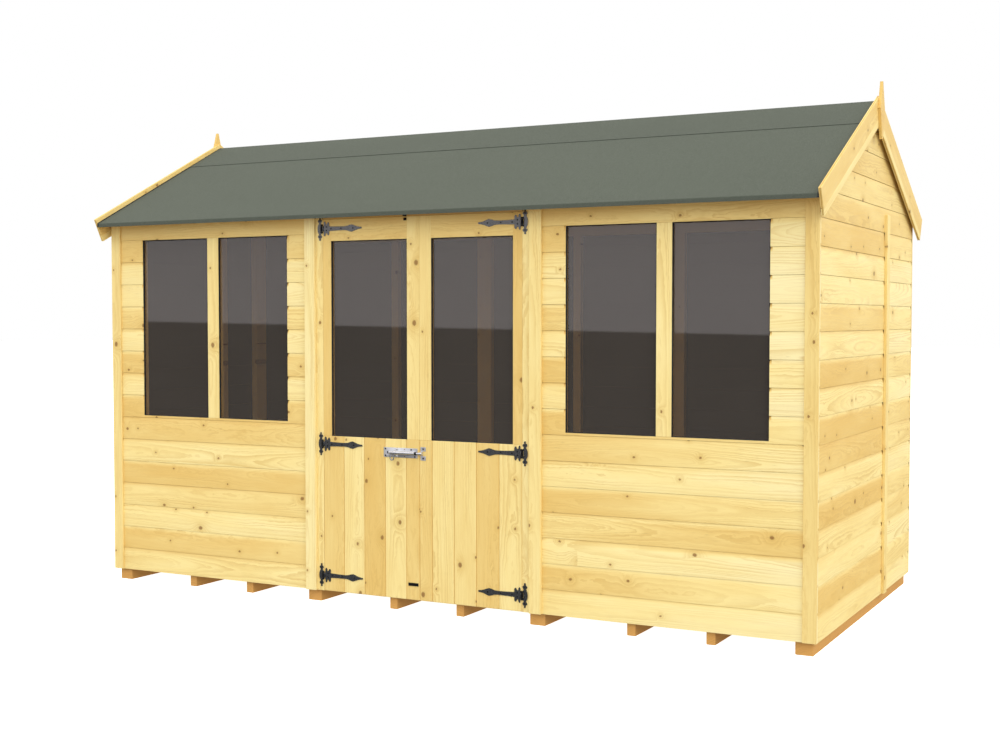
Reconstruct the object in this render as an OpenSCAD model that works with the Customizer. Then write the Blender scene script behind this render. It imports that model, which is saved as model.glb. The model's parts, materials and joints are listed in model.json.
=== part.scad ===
// Timber summer house with an apex roof: three wall bays along the front, the middle one a pair of
// glazed doors, standing on bearers. X runs along the front, the front faces -Y, Z is up and the
// undersides of the bearers are at Z = 0. Sizes are in millimetres.

/* [Overall] */
// Length over the outer faces of the two gable walls
wall_len = 3600; // [3200:10:4200]
// Depth over the outer faces of the front and back cladding
wall_depth = 1740; // [1500:10:2200]
// Number of cladding boards up the front and back walls
board_rows = 16; // [16:1:18]
// Cover width of one cladding board
board_cover = 110.5; // [110:0.5:120]
// Pitch of the roof in degrees
roof_pitch = 26.4; // [20:0.1:32]

/* [Walls] */
// Thickness of the cladding
clad_t = 12; // [10:1:16]
// Depth of the studs and rails, measured through the wall
frame_d = 34; // [28:1:50]
// Width of a stud or rail, measured along the wall
frame_w = 44; // [38:1:50]
// Width of the corner trims and cover strips
trim_w = 56; // [50:1:70]
// Thickness of the corner trims
trim_t = 9; // [8:1:16]
// Thickness of the cover strips over the front and back joints
strip_t = 15; // [10:1:18]
// Thickness of the cover strip on each gable
gable_strip_t = 13; // [8:1:16]
// Height of the gable cover strips above the bottom of the walls
gable_strip_h = 1738; // [1500:1:1800]
// Distance of the gable joint behind the middle of the gable
gable_joint = 282; // [200:1:400]

/* [Floor] */
// Height of the bearers
bearer_h = 55; // [45:1:75]
// Width of a single bearer
bearer_w = 38; // [34:1:50]
// Width of a bearer under the joint of two floor bays
wide_bearer_w = 72; // [68:1:90]
// Thickness of the floor boards
floor_t = 12; // [10:1:19]
// Distance of the floor and bearers behind the outer face of the cladding
floor_inset = 18; // [17:1:30]

/* [Bays] */
// Width of the door bay between the centres of its two cover strips
door_bay = 1166; // [1140:1:1240]
// Width of the post between the two panes of a window
mullion_w = 67; // [50:1:80]
// Distance of each window from the centre of the cover strip beside the doors
window_side = 137; // [110:1:160]
// Distance of each window from the outer face of the gable wall
window_corner = 197; // [130:1:240]
// Height of the window sill above the bottom of the walls
sill_h = 784; // [700:1:850]
// Height of the wall left above a window
window_head = 112; // [100:1:160]
// Thickness of the glass
glass_t = 4; // [3:1:6]
// How far each pane runs behind the edge of its opening
glass_lap = 9.5; // [6:0.5:12]

/* [Doors] */
// Gap round each door leaf
leaf_gap = 5.5; // [5:0.5:8]
// Visible width of the door posts beside the leaves
post_w = 62; // [50:0.5:70]
// Height of the head above the leaves
head_h = 50; // [49:1:90]
// Height of the door panes' lower edge above the bottom of the walls
door_sill_h = 724; // [650:1:800]
// Height of the top rail of a leaf, above its pane
top_rail_h = 95; // [80:1:140]
// Width of the stile between each door pane and the meeting line
meeting_stile = 60; // [50:1:80]
// Width of the stile at the hinged edge of a leaf
hinge_stile = 44.75; // [40:0.25:80]
// Depth of the framing behind the face boards of a leaf
leaf_frame_d = 28; // [20:1:34]
// How far that framing stays back from the edges of the leaf
leaf_frame_back = 9; // [6:1:12]

/* [Roof] */
// Thickness of the roof boards
deck_t = 12; // [9:1:18]
// Thickness of the roofing felt
felt_t = 3; // [2:0.5:4]
// Overhang of the roof beyond the front and back cladding
eave_over = 87; // [60:1:120]
// Overhang of the roof beyond the gable cladding
verge_over = 16; // [14:1:40]
// Thickness of the extra strip of felt along the ridge
ridge_felt_t = 2; // [1.5:0.5:3]
// Width of that strip down each side of the ridge, measured on the slope
ridge_felt_w = 290; // [200:5:400]
// Width of the bargeboards
barge_w = 117; // [90:1:150]
// Thickness of the bargeboards
barge_t = 12; // [10:1:25]
// Height of the bargeboards' top edge above the felt, measured square to the slope
barge_up = 22; // [8:1:30]
// How far the bargeboards run past the eaves, measured level
barge_past = 13; // [0:1:60]
// Thickness of the finials
finial_t = 13; // [9:1:18]
// Width of a finial at its shoulders
finial_w = 86; // [60:1:100]
// Height of the finial's point above the bargeboards' peak
finial_up = 60; // [40:1:90]
// Length of the finial from its point to its lower end
finial_len = 250; // [220:1:280]

/* [Ironmongery] */
// Thickness of the hinge plates and straps
hinge_t = 2.5; // [2:0.5:3]
// Radius of a hinge knuckle
knuckle_r = 5; // [4:0.5:5]
// Radius of a hinge pin
pin_r = 2.5; // [2:0.5:3]
// Radial clearance of the straps on the hinge pins
pin_play = 0.05; // [0.02:0.01:0.1]
// Distance of the hinge pin in front of the door face
pin_out = 6.5; // [6:0.5:7]
// Overall height of a hinge plate
plate_h = 108; // [96:1:112]
// Length of a hinge strap from its pin to its tip
strap_len = 217; // [200:1:260]
// Height of the lowest hinge above the bottom of the walls
hinge_low_h = 73; // [65:1:100]
// Height of the middle hinge above the bottom of the walls
hinge_mid_h = 686; // [600:1:900]
// Distance of the top hinge below the top of the leaves
hinge_top_drop = 38; // [36:1:80]
// Radius of the bolt's bar
bolt_r = 5.5; // [4.5:0.5:8]
// Radial clearance of the bar in its guide
bolt_play = 0.08; // [0.05:0.01:0.1]
// Height of the bolt above the bottom of the walls
bolt_h = 663; // [600:1:670]
// Length of the bolt's plate
bolt_plate_len = 178; // [160:1:190]
// Height of the bolt's plate
bolt_plate_h = 44; // [38:1:50]

/* [Hidden] */
$fn = 48;
tiny = 0.2;                                // joint between boards of one wall
seat = 0.02;                               // play between faces that meet on a slope
half_len = wall_len / 2;
half_depth = wall_depth / 2;
wall_z = bearer_h;                         // bottom of the walls
wall_h = board_rows * board_cover;
wall_top = wall_z + wall_h;
clad_in = half_depth - clad_t;             // inner face of the front cladding, as a distance from the middle
frame_in = clad_in - frame_d;
gable_in = half_len - clad_t;
slope = tan(roof_pitch);
deck_v = deck_t / cos(roof_pitch);         // thicknesses measured straight up
felt_v = felt_t / cos(roof_pitch);
ridge_felt_v = ridge_felt_t / cos(roof_pitch);
ridge_under = wall_top + half_depth * slope;  // underside of the roof boards at the ridge
roof_end = half_len + verge_over;
eave_y = half_depth + eave_over;
bay_edge = door_bay / 2;
floor_front = half_depth - floor_inset;
floor_end = half_len - floor_inset;
window_near = bay_edge + window_side;      // window edge next to the door bay
window_far = half_len - window_corner;
pane_w = (window_far - window_near - mullion_w) / 2;  // one window pane as seen from outside
window_z = wall_z + sill_h;
window_h = wall_h - sill_h - window_head;
post_in = bay_edge - post_w;               // inner face of a door post
leaf_hinge_x = post_in - leaf_gap;         // edge of the leaf at its hinges
leaf_meet_x = leaf_gap / 2;                // edge of the leaf at the meeting line
leaf_z = wall_z + 0.5;
leaf_top_z = wall_top - head_h;
pane_in = leaf_meet_x + meeting_stile;     // edges of a door pane
pane_out = leaf_hinge_x - hinge_stile;
pane_z = wall_z + door_sill_h;
door_pane_h = leaf_top_z - top_rail_h - pane_z;
leaf_frame_z = wall_z + floor_t + leaf_gap; // the framing clears the floor boards
pin_x = (post_in + leaf_hinge_x) / 2;
pin_y = -half_depth - pin_out;
barge_top_v = (felt_t + barge_up) / cos(roof_pitch);
barge_peak = ridge_under + deck_v + barge_top_v;
barge_out = roof_end + barge_t;
barge_foot = eave_y + barge_past;
bolt_y = -half_depth - hinge_t - bolt_r - 1.5;
bolt_z = wall_z + bolt_h;
bolt_end = -leaf_meet_x - 5;               // plate end next to the meeting line
bolt_tip = 20;                             // tip of the bar when it is shot home
bolt_bar_len = 180;
keep_x = 8;                                // near edge of the keep on the other leaf
keep_w = 27;
keep_loop = 12;                            // length of the loop that takes the bar
keep_play = 1;
guide_r = bolt_r + 1.75;
hinge_hs = [hinge_low_h, hinge_mid_h, leaf_top_z - hinge_top_drop - wall_z];
knuckle_len = 22;                          // strap knuckle, with one plate knuckle above and one below
plate_knuckle = 8.5;
knuckle_half = knuckle_len / 2 + plate_knuckle + 0.5;
plate_x = 12;                              // middle of the hinge plate, outside the pin
ridge_beam_w = 40;
ridge_beam_h = 70;
purlin_y = 440;                            // middle of each purlin, level distance from the ridge
catch_x = -71;

pine = "#f0d58c";
pine_dark = "#d9b36a";
bearer_brown = "#bc8e52";

// A block between two corners
module block(a, b) {
    translate(a) cube([b[0] - a[0], b[1] - a[1], b[2] - a[2]]);
}

// A piece and its twin on the other side of the middle of the front
module both_ends() {
    children();
    mirror([1, 0, 0]) children();
}

// A piece and its twin on the other side of the ridge
module both_slopes() {
    children();
    mirror([0, 1, 0]) children();
}

// An outline in Y and Z carried along X from x0 to x1
module along_x(x0, x1) {
    translate([x0, 0, 0]) rotate([90, 0, 90]) linear_extrude(x1 - x0) children();
}

// An outline in X and Z laid on a face at y, with its thickness towards the front
module on_front(y, t) {
    translate([0, y, 0]) rotate([90, 0, 0]) linear_extrude(t) children();
}

module rect(x0, z0, x1, z1) {
    translate([x0, z0]) square([x1 - x0, z1 - z0]);
}

// ---- Floor ----
// Bearers run from front to back: a wide one under each joint and end of the three floor bays,
// and two single ones between.
module bearers() {
    color(bearer_brown) {
        end_x = floor_end - wide_bearer_w / 2;
        bay = 2 * end_x / 3;
        for (i = [0:3]) bearer(-end_x + i * bay, wide_bearer_w);
        for (i = [0:2]) for (part = [0.373, 0.671]) bearer(-end_x + (i + part) * bay, bearer_w);
    }
}

module bearer(x, w) {
    block([x - w / 2, -floor_front, 0], [x + w / 2, floor_front, bearer_h]);
}

module floor_deck() {
    color(pine_dark) block([-floor_end, -floor_front, wall_z], [floor_end, floor_front, wall_z + floor_t]);
}

// ---- Front wall ----
// One window bay, on the +X side: boards under, beside and over the window opening.
module window_bay_cladding() {
    color(pine) {
        head = window_z + window_h;
        for (r = [[bay_edge, wall_z, half_len, window_z - tiny],
                  [bay_edge, window_z, window_near, head],
                  [window_far, window_z, half_len, head],
                  [bay_edge, head + tiny, half_len, wall_top]])
            block([r[0], -half_depth, r[1]], [r[2], -clad_in, r[3]]);
    }
}

module window_mullions() {
    color(pine) both_ends() {
        x = window_near + pane_w;
        block([x, -half_depth, window_z], [x + mullion_w, -clad_in, window_z + window_h]);
    }
}

module window_glass() {
    color("#5a544f", 0.6) both_ends() for (x = [window_near, window_near + pane_w + mullion_w])
        block([x - glass_lap, -clad_in, window_z - glass_lap],
              [x + pane_w + glass_lap, -clad_in + glass_t, window_z + window_h + glass_lap]);
}

// Height of the underside of the roof boards at a distance y from the ridge
function under(y) = ridge_under - abs(y) * slope;

// Height of what meets the roof boards from below
function below(y) = under(y) - seat;

// A top rail of the front or back wall (side -1 or 1), planed to the slope of the roof boards
module eaves_rail(x0, x1, side) {
    along_x(x0, x1)
        polygon([[side * frame_in, wall_top - frame_w], [side * clad_in, wall_top - frame_w],
                 [side * clad_in, below(clad_in)], [side * frame_in, below(frame_in)]]);
}

module front_studs() {
    color(pine_dark) both_ends() {
        near = bay_edge + tiny;
        far = gable_in;
        z0 = wall_z + floor_t + frame_w;
        z1 = wall_top - frame_w;
        for (x = [near, far - frame_w])
            block([x, -clad_in, z0], [x + frame_w, -frame_in, z1]);
        // the stud behind the mullion and its lower part under the sill
        mid = window_near + pane_w + mullion_w / 2;
        stud_w = mullion_w - 2 * glass_lap - 2;
        block([mid - stud_w / 2, -clad_in, window_z - glass_lap],
              [mid + stud_w / 2, -frame_in, window_z + window_h + glass_lap]);
        block([mid - frame_w / 2, -clad_in, z0],
              [mid + frame_w / 2, -frame_in, window_z - glass_lap - frame_w]);
        // short studs at the window's own sides
        block([window_near - glass_lap - frame_w / 2, -clad_in, window_z - glass_lap],
              [window_near - glass_lap, -frame_in, window_z + window_h + glass_lap]);
        block([window_far + glass_lap, -clad_in, window_z - glass_lap],
              [window_far + glass_lap + frame_w / 2, -frame_in, window_z + window_h + glass_lap]);
    }
}

module front_rails() {
    color(pine_dark) both_ends() {
        z0 = wall_z + floor_t;
        z1 = wall_top;
        block([bay_edge + tiny, -clad_in, z0], [gable_in, -frame_in, z0 + frame_w]);
        eaves_rail(bay_edge + tiny, gable_in, -1);
        x0 = bay_edge + tiny + frame_w;
        x1 = gable_in - frame_w;
        for (z = [window_z - glass_lap - frame_w, window_z + window_h + glass_lap])
            block([x0, -clad_in, z], [x1, -frame_in, min(z + frame_w, z1 - frame_w - tiny)]);
    }
}

// Posts stand on the floor boards, with a tongue in front of the floor's edge
module door_posts() {
    color(pine) both_ends() {
        block([post_in, -half_depth, wall_z], [bay_edge - tiny, -clad_in, wall_top]);
        block([post_in, -clad_in, wall_z + floor_t], [bay_edge - tiny, -frame_in, wall_top - frame_w]);
    }
}

module door_head() {
    color(pine) {
        block([-post_in, -half_depth, leaf_top_z + leaf_gap], [post_in, -clad_in, wall_top]);
        block([-post_in, -clad_in, leaf_top_z + leaf_gap], [post_in, -frame_in, wall_top - frame_w + tiny]);
        eaves_rail(-bay_edge + tiny, bay_edge - tiny, -1);
    }
}

// ---- Back wall ----
module back_cladding() {
    color(pine) for (x = [[-half_len, -bay_edge - tiny], [-bay_edge, bay_edge], [bay_edge + tiny, half_len]])
        block([x[0], clad_in, wall_z], [x[1], half_depth, wall_top]);
}

module back_studs() {
    color(pine_dark) {
        z0 = wall_z + floor_t + frame_w;
        z1 = wall_top - frame_w;
        side = (bay_edge + gable_in) / 2;
        for (x = [-gable_in + frame_w / 2, -side, -bay_edge - frame_w / 2 - tiny,
                  -bay_edge + frame_w / 2 + tiny, 0, bay_edge - frame_w / 2 - tiny,
                  bay_edge + frame_w / 2 + tiny, side, gable_in - frame_w / 2])
            block([x - frame_w / 2, frame_in, z0], [x + frame_w / 2, clad_in, z1]);
    }
}

module back_rails() {
    color(pine_dark) for (x = [[-gable_in, -bay_edge - tiny], [-bay_edge, bay_edge], [bay_edge + tiny, gable_in]])
        {
            block([x[0], frame_in, wall_z + floor_t], [x[1], clad_in, wall_z + floor_t + frame_w]);
            eaves_rail(x[0], x[1], 1);
        }
}

// ---- Gable walls ----
// Outline of a gable between the front and back cladding, up to the underside of the roof boards
module gable_outline() {
    polygon([[-clad_in, wall_z], [clad_in, wall_z], [clad_in, below(clad_in)], [0, below(0)],
             [-clad_in, below(clad_in)]]);
}

module gable_cladding() {
    color(pine) along_x(gable_in, half_len) gable_outline();
}

// Studs of both gables: at the corners, at the joint and under the ridge
module gable_studs() {
    color(pine_dark) both_ends() {
        z0 = wall_z + floor_t + frame_w;
        for (y = [-frame_in + frame_w / 2 + tiny, -frame_w, gable_joint - frame_w / 2,
                  gable_joint + frame_w / 2 + tiny, frame_in - frame_w / 2 - tiny]) {
            reach = max(abs(y - frame_w / 2), abs(y + frame_w / 2));
            top = below(reach) - frame_w / cos(roof_pitch) - tiny;
            block([gable_in - frame_d, y - frame_w / 2, z0], [gable_in, y + frame_w / 2, top]);
        }
    }
}

// Bottom rails of both gables and the sloping rails under the roof boards
module gable_rails() {
    color(pine_dark) both_ends() {
        z0 = wall_z + floor_t;
        block([gable_in - frame_d, -frame_in + tiny, z0], [gable_in, frame_in - tiny, z0 + frame_w]);
        v = frame_w / cos(roof_pitch);
        mid = ridge_beam_w / 2 + tiny;
        y1 = frame_in - tiny;
        both_slopes() along_x(gable_in - frame_d, gable_in)
            polygon([[mid, below(mid)], [y1, below(y1)], [y1, below(y1) - v], [mid, below(mid) - v]]);
    }
}

// ---- Trims and cover strips ----
module corner_trims() {
    color(pine) both_ends() both_slopes()
        block([half_len - trim_w, -half_depth - trim_t, wall_z], [half_len, -half_depth, wall_top - trim_t * slope]);
}

module bay_strips() {
    color(pine) both_ends()
        block([bay_edge - trim_w / 2, -half_depth - strip_t, wall_z],
              [bay_edge + trim_w / 2, -half_depth, wall_top - strip_t * slope]);
}

module gable_strips() {
    color(pine) both_ends()
        block([half_len, gable_joint - trim_w / 2, wall_z],
              [half_len + gable_strip_t, gable_joint + trim_w / 2, wall_z + gable_strip_h]);
}

// ---- Roof ----
// Boards of the +Y slope, under the felt
module roof_deck() {
    y = eave_y - felt_t;
    color(pine_dark) along_x(-roof_end, roof_end)
        polygon([[0, ridge_under], [y, under(y)], [y, under(y) + deck_v], [0, ridge_under + deck_v]]);
}

// Felt over one slope, turned down over the edge of the boards at the eaves
module felt() {
    y = eave_y - felt_t;
    foot = under(eave_y) - 2;
    color("#70786c") along_x(-roof_end, roof_end) {
        polygon([[0, ridge_under + deck_v + seat], [eave_y, under(eave_y) + deck_v + seat],
                 [eave_y, under(eave_y) + deck_v + felt_v], [0, ridge_under + deck_v + felt_v]]);
        polygon([[y, foot], [eave_y, foot], [eave_y, under(eave_y) + deck_v - seat],
                 [y, under(y) + deck_v - seat]]);
    }
}

// Extra strip of felt over the ridge, one half on each slope
module felt_ridge() {
    y = ridge_felt_w * cos(roof_pitch);
    z = ridge_under + deck_v + felt_v + seat;
    color("#70786c") along_x(-roof_end, roof_end) for (s = [-1, 1])
        polygon([[s * seat, z], [s * y, z - y * slope], [s * y, z - y * slope + ridge_felt_v],
                 [s * seat, z + ridge_felt_v]]);
}

// The ridge beam between the gable claddings and one purlin under each slope
module roof_rails() {
    color(pine_dark) {
        mid = ridge_beam_w / 2;
        top = below(mid);
        block([-gable_in, -mid, top - ridge_beam_h], [gable_in, mid, top]);
        x = gable_in - frame_d - tiny;
        both_slopes() along_x(-x, x) {
            y0 = purlin_y - frame_w / 2;
            y1 = purlin_y + frame_w / 2;
            polygon([[y0, below(y0) - frame_w], [y1, below(y1) - frame_w], [y1, below(y1)],
                     [y0, below(y0)]]);
        }
    }
}

// The pair of bargeboards at the +X end: plumb at the ridge, square at the foot
module bargeboards() {
    color(pine) both_slopes() along_x(roof_end, barge_out) {
        v = barge_w / cos(roof_pitch);
        foot_z = barge_peak - barge_foot * slope;
        polygon([[tiny, barge_peak - tiny * slope], [barge_foot, foot_z],
                 [barge_foot - barge_w * sin(roof_pitch), foot_z - barge_w * cos(roof_pitch)],
                 [tiny, barge_peak - tiny * slope - v]]);
    }
}

// A flat finial: a long point above, shoulders, and a narrowing tail over the bargeboards' joint
module finials() {
    color(pine) both_ends() along_x(barge_out, barge_out + finial_t) {
        tip = barge_peak + finial_up;
        w = finial_w / 2;
        shoulder = tip - 0.48 * finial_len;
        for (s = [-1, 1])
            polygon([[0, tip], [s * 4, tip], [s * 0.47 * w, tip - 0.22 * finial_len],
                     [s * w, shoulder], [s * (w - 4), shoulder - 4], [s * 8, tip - finial_len],
                     [0, tip - finial_len]]);
    }
}

// ---- Doors: one leaf on the +X side, mirrored for the other ----
module leaf_boards() {
    color(pine) {
        head = pane_z + door_pane_h;
        for (r = [[leaf_meet_x, leaf_z, leaf_hinge_x, pane_z - tiny],
                  [leaf_meet_x, pane_z, pane_in, leaf_top_z],
                  [pane_out, pane_z, leaf_hinge_x, leaf_top_z],
                  [pane_in + tiny, head, pane_out - tiny, leaf_top_z]])
            block([r[0], -half_depth, r[1]], [r[2], -clad_in, r[3]]);
    }
}

// Framing behind the face boards: stiles, then rails between them
module leaf_frame() {
    y1 = -clad_in + leaf_frame_d;
    x0 = leaf_meet_x + leaf_frame_back;
    x1 = leaf_hinge_x - leaf_frame_back;
    xi0 = pane_in - glass_lap;
    xi1 = pane_out + glass_lap;
    zi = pane_z - glass_lap;
    zt = pane_z + door_pane_h + glass_lap;
    top = leaf_top_z - leaf_frame_back;
    color(pine_dark) {
        block([x0, -clad_in, leaf_frame_z], [xi0, y1, top]);
        block([xi1, -clad_in, leaf_frame_z], [x1, y1, top]);
        for (z = [[leaf_frame_z, leaf_frame_z + frame_w], [zi - frame_w, zi], [zt, top]])
            block([xi0 + tiny, -clad_in, z[0]], [xi1 - tiny, y1, z[1]]);
    }
}

module leaf_glass() {
    color("#5a544f", 0.6)
        block([pane_in - glass_lap, -clad_in, pane_z - glass_lap],
              [pane_out + glass_lap, -clad_in + glass_t, pane_z + door_pane_h + glass_lap]);
}

// ---- Hinges: an upright plate on the door post and a long strap on the leaf ----
// Everything is drawn for the leaf on the +X side, round its pin.

// Upright plate: an oval middle, and above and below it a round lobe and a small ball
module plate_outline() {
    end = plate_h / 2;
    translate([plate_x, 0]) {
        scale([13, end - 27]) circle(1);
        rect(-6, -end + 12, 6, end - 12);
        for (s = [-1, 1]) {
            translate([0, s * (end - 18)]) scale([11, 8.5]) circle(1);
            rect(-3.5, s > 0 ? end - 25 : -end + 4, 3.5, s > 0 ? end - 4 : -end + 25);
            translate([0, s * (end - 4.5)]) circle(4.5);
        }
    }
    rect(0, -knuckle_half, plate_x, knuckle_half);
}

module hinge_plates() {
    color("#3c3e40") both_ends() for (h = hinge_hs) translate([pin_x, 0, wall_z + h]) {
        on_front(-half_depth, hinge_t) difference() {
            plate_outline();
            rect(-1, -knuckle_len / 2 - 1, knuckle_r + 1, knuckle_len / 2 + 1);
        }
        for (s = [-1, 1]) translate([0, pin_y, s * (knuckle_half - plate_knuckle / 2)]) {
            cylinder(r = knuckle_r, h = plate_knuckle, center = true);
            block([0, 0, -plate_knuckle / 2], [knuckle_r, pin_out - hinge_t / 2, plate_knuckle / 2]);
        }
        translate([0, pin_y, 0])
            cylinder(r = pin_r, h = 2 * knuckle_half - 1, center = true);
    }
}

// Stepped root with two pairs of horns, a waisted strap and a spear head with a round tip
module strap_outline() {
    root = -39;
    rect(root, -20, -9, 20);
    rect(-10, -knuckle_len / 2, -knuckle_r, knuckle_len / 2);
    for (s = [-1, 1]) {
        polygon([[-9, s * 19], [-10.5, s * 32], [-14.5, s * 34.5], [-19, s * 28], [-20, s * 19]]);
        polygon([[-26, s * 19], [-28, s * 25], [-31.5, s * 30], [-36, s * 29.5], [root, s * 24],
                 [root, s * 19]]);
    }
    spear = -strap_len + 54;
    half = [[root + 1, 10.8], [-80, 9], [spear + 46, 8.3], [spear + 28, 9.5], [spear + 12, 14.5],
            [spear, 17], [spear - 12, 13], [spear - 27, 7.5], [spear - 40, 4.8], [spear - 50, 3.8]];
    polygon(concat(half, [for (i = [len(half) - 1:-1:0]) [half[i][0], -half[i][1]]]));
    translate([-strap_len + 4, 0]) circle(4);
}

module hinge_straps() {
    color("#3c3e40") for (h = hinge_hs) translate([pin_x, 0, wall_z + h]) difference() {
        union() {
            on_front(-half_depth, hinge_t) strap_outline();
            translate([0, pin_y, 0]) cylinder(r = knuckle_r, h = knuckle_len, center = true);
            block([-knuckle_r - 3, pin_y, -knuckle_len / 2],
                  [0, -half_depth - hinge_t / 2, knuckle_len / 2]);
        }
        translate([0, pin_y, 0])
            cylinder(r = pin_r + pin_play, h = knuckle_len + 2, center = true);
    }
}

// ---- Bolt on the left leaf, shot into its keep on the right leaf ----
module bolt_plate() {
    color("#c8ccd2") difference() {
        union() {
            block([bolt_end - bolt_plate_len, -half_depth - 2, bolt_z - bolt_plate_h / 2],
                  [bolt_end, -half_depth, bolt_z + bolt_plate_h / 2]);
            block([bolt_end - 117, -half_depth - 3.5, bolt_z - bolt_plate_h / 2],
                  [bolt_end - 95, -half_depth - 1, bolt_z + bolt_plate_h / 2]);
            guide(bolt_end - 117, 22, 2);
            guide(bolt_end - 96, 84, 0);
        }
        translate([0, bolt_y, bolt_z]) rotate([0, 90, 0])
            cylinder(r = bolt_r + bolt_play, h = 4 * bolt_plate_len, center = true);
    }
}

// A guide from x, of length len, that wraps the bar against the plate; more adds to its radius
module guide(x, len, more) {
    r = guide_r + more;
    translate([x, bolt_y, bolt_z]) rotate([0, 90, 0]) cylinder(r = r, h = len);
    block([x, bolt_y, bolt_z - r], [x + len, -half_depth - 1, bolt_z + r]);
}

module bolt_bar() {
    color("#dfe2e6") {
        translate([bolt_tip - bolt_bar_len, bolt_y, bolt_z]) rotate([0, 90, 0])
            cylinder(r = bolt_r, h = bolt_bar_len);
        // staple for a padlock, hanging from the bar beside the guide
        translate([bolt_end - 129.5, bolt_y, bolt_z - bolt_r]) rotate([90, 0, 0])
            linear_extrude(4, center = true) difference() {
                union() {
                    translate([0, -20]) circle(11.5);
                    rect(-11.5, -20, 11.5, 1.5);
                }
                translate([0, -20]) circle(6.5);
                rect(-6.5, -20, 6.5, -3);
            }
    }
}

module bolt_keep() {
    color("#c8ccd2") difference() {
        union() {
            block([keep_x, -half_depth - 2, bolt_z - 30], [keep_x + keep_w, -half_depth, bolt_z + 30]);
            translate([keep_x, bolt_y, bolt_z]) rotate([0, 90, 0])
                cylinder(r = guide_r + keep_play, h = keep_loop);
            block([keep_x, bolt_y, bolt_z - guide_r - keep_play],
                  [keep_x + keep_loop, -half_depth - 1, bolt_z + guide_r + keep_play]);
        }
        block([keep_x + keep_loop, -half_depth - 3, bolt_z - 11],
              [keep_x + keep_w + 1, -half_depth + 1, bolt_z + 11]);
        translate([0, bolt_y, bolt_z]) rotate([0, 90, 0])
            cylinder(r = bolt_r + keep_play, h = 4 * keep_w, center = true);
    }
}

// ---- Small black fittings ----
module head_catch() {
    color("#1c1d20") {
        block([catch_x - 8, -half_depth - 2, leaf_top_z - 13], [catch_x + 8, -half_depth, leaf_top_z - 1]);
        translate([catch_x, -half_depth - 6, leaf_top_z - 12]) cylinder(r = 4.5, h = 10);
    }
}

module head_keep() {
    color("#1c1d20")
        block([catch_x - 8, -half_depth - 9, leaf_top_z + leaf_gap + 1],
              [catch_x + 8, -half_depth, leaf_top_z + leaf_gap + 12]);
}

module kick_plate() {
    color("#1c1d20")
        block([-leaf_meet_x - 54, -half_depth - 3, wall_z + 64], [-leaf_meet_x - 2, -half_depth, wall_z + 78]);
}

bearers();
floor_deck();  // floor
mirror([1, 0, 0]) window_bay_cladding();  // front_cladding_left
window_bay_cladding();  // front_cladding_right
back_cladding();
mirror([1, 0, 0]) gable_cladding();  // gable_cladding_left
gable_cladding();  // gable_cladding_right
front_studs();
front_rails();
back_studs();
back_rails();
gable_studs();
gable_rails();
window_mullions();
window_glass();
door_posts();
door_head();
corner_trims();
bay_strips();  // front_strips
mirror([0, 1, 0]) bay_strips();  // back_strips
gable_strips();
roof_rails();
mirror([0, 1, 0]) roof_deck();  // roof_deck_front
roof_deck();  // roof_deck_back
mirror([0, 1, 0]) felt();  // felt_front
felt();  // felt_back
felt_ridge();
mirror([1, 0, 0]) bargeboards();  // bargeboards_left
bargeboards();  // bargeboards_right
finials();
mirror([1, 0, 0]) leaf_boards();  // door_left_boards
mirror([1, 0, 0]) leaf_frame();  // door_left_frame
mirror([1, 0, 0]) leaf_glass();  // door_left_glass
leaf_boards();  // door_right_boards
leaf_frame();  // door_right_frame
leaf_glass();  // door_right_glass
hinge_plates();
mirror([1, 0, 0]) hinge_straps();  // hinge_straps_left
hinge_straps();  // hinge_straps_right
bolt_plate();
bolt_bar();
bolt_keep();
head_catch();
head_keep();
kick_plate();
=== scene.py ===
"""Finishes of a timber summer house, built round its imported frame.

X runs along the front, the front faces -Y and Z is up. Everything is in metres. The boards, trims,
felt, glazing and ironmongery are worked out from the places of the frame's own nodes.
"""

import json
import math

import bmesh
import bpy
import numpy as np
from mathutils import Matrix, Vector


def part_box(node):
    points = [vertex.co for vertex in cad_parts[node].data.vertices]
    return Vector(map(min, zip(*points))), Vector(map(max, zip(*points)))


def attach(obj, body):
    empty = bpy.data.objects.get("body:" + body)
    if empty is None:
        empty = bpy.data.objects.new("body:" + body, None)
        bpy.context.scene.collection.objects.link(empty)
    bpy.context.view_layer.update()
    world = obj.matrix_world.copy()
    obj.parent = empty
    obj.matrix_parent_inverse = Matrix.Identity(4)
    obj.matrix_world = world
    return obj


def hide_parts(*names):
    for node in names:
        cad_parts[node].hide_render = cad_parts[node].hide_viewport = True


bl_info = {
    "name": "Summer house finishes",
    "version": (1, 0, 0),
    "blender": (4, 5, 0),
    "location": "View3D > Sidebar > Summer house",
    "description": "Boards, felt, glazing and ironmongery of a timber summer house",
    "category": "Object",
}

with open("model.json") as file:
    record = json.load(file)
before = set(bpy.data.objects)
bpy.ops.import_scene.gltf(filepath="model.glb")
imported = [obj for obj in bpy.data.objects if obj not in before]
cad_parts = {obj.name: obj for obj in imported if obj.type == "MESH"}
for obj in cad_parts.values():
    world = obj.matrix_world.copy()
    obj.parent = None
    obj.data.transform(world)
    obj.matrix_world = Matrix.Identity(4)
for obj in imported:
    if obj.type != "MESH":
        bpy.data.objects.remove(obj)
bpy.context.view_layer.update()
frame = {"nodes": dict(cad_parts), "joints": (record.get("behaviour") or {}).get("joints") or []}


# ---- Colours and settings ----


def tint(code):
    """A colour written as #rrggbb, as the linear values that Blender keeps."""
    share = [int(code[i : i + 2], 16) / 255 for i in (1, 3, 5)]
    return tuple(s / 12.92 if s <= 0.04045 else ((s + 0.055) / 1.055) ** 2.4 for s in share)


def colour(name, code, description):
    """A colour setting with its default."""
    return bpy.props.FloatVectorProperty(
        name=name, description=description, default=tint(code), subtype="COLOR", size=3, min=0, max=1
    )


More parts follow.
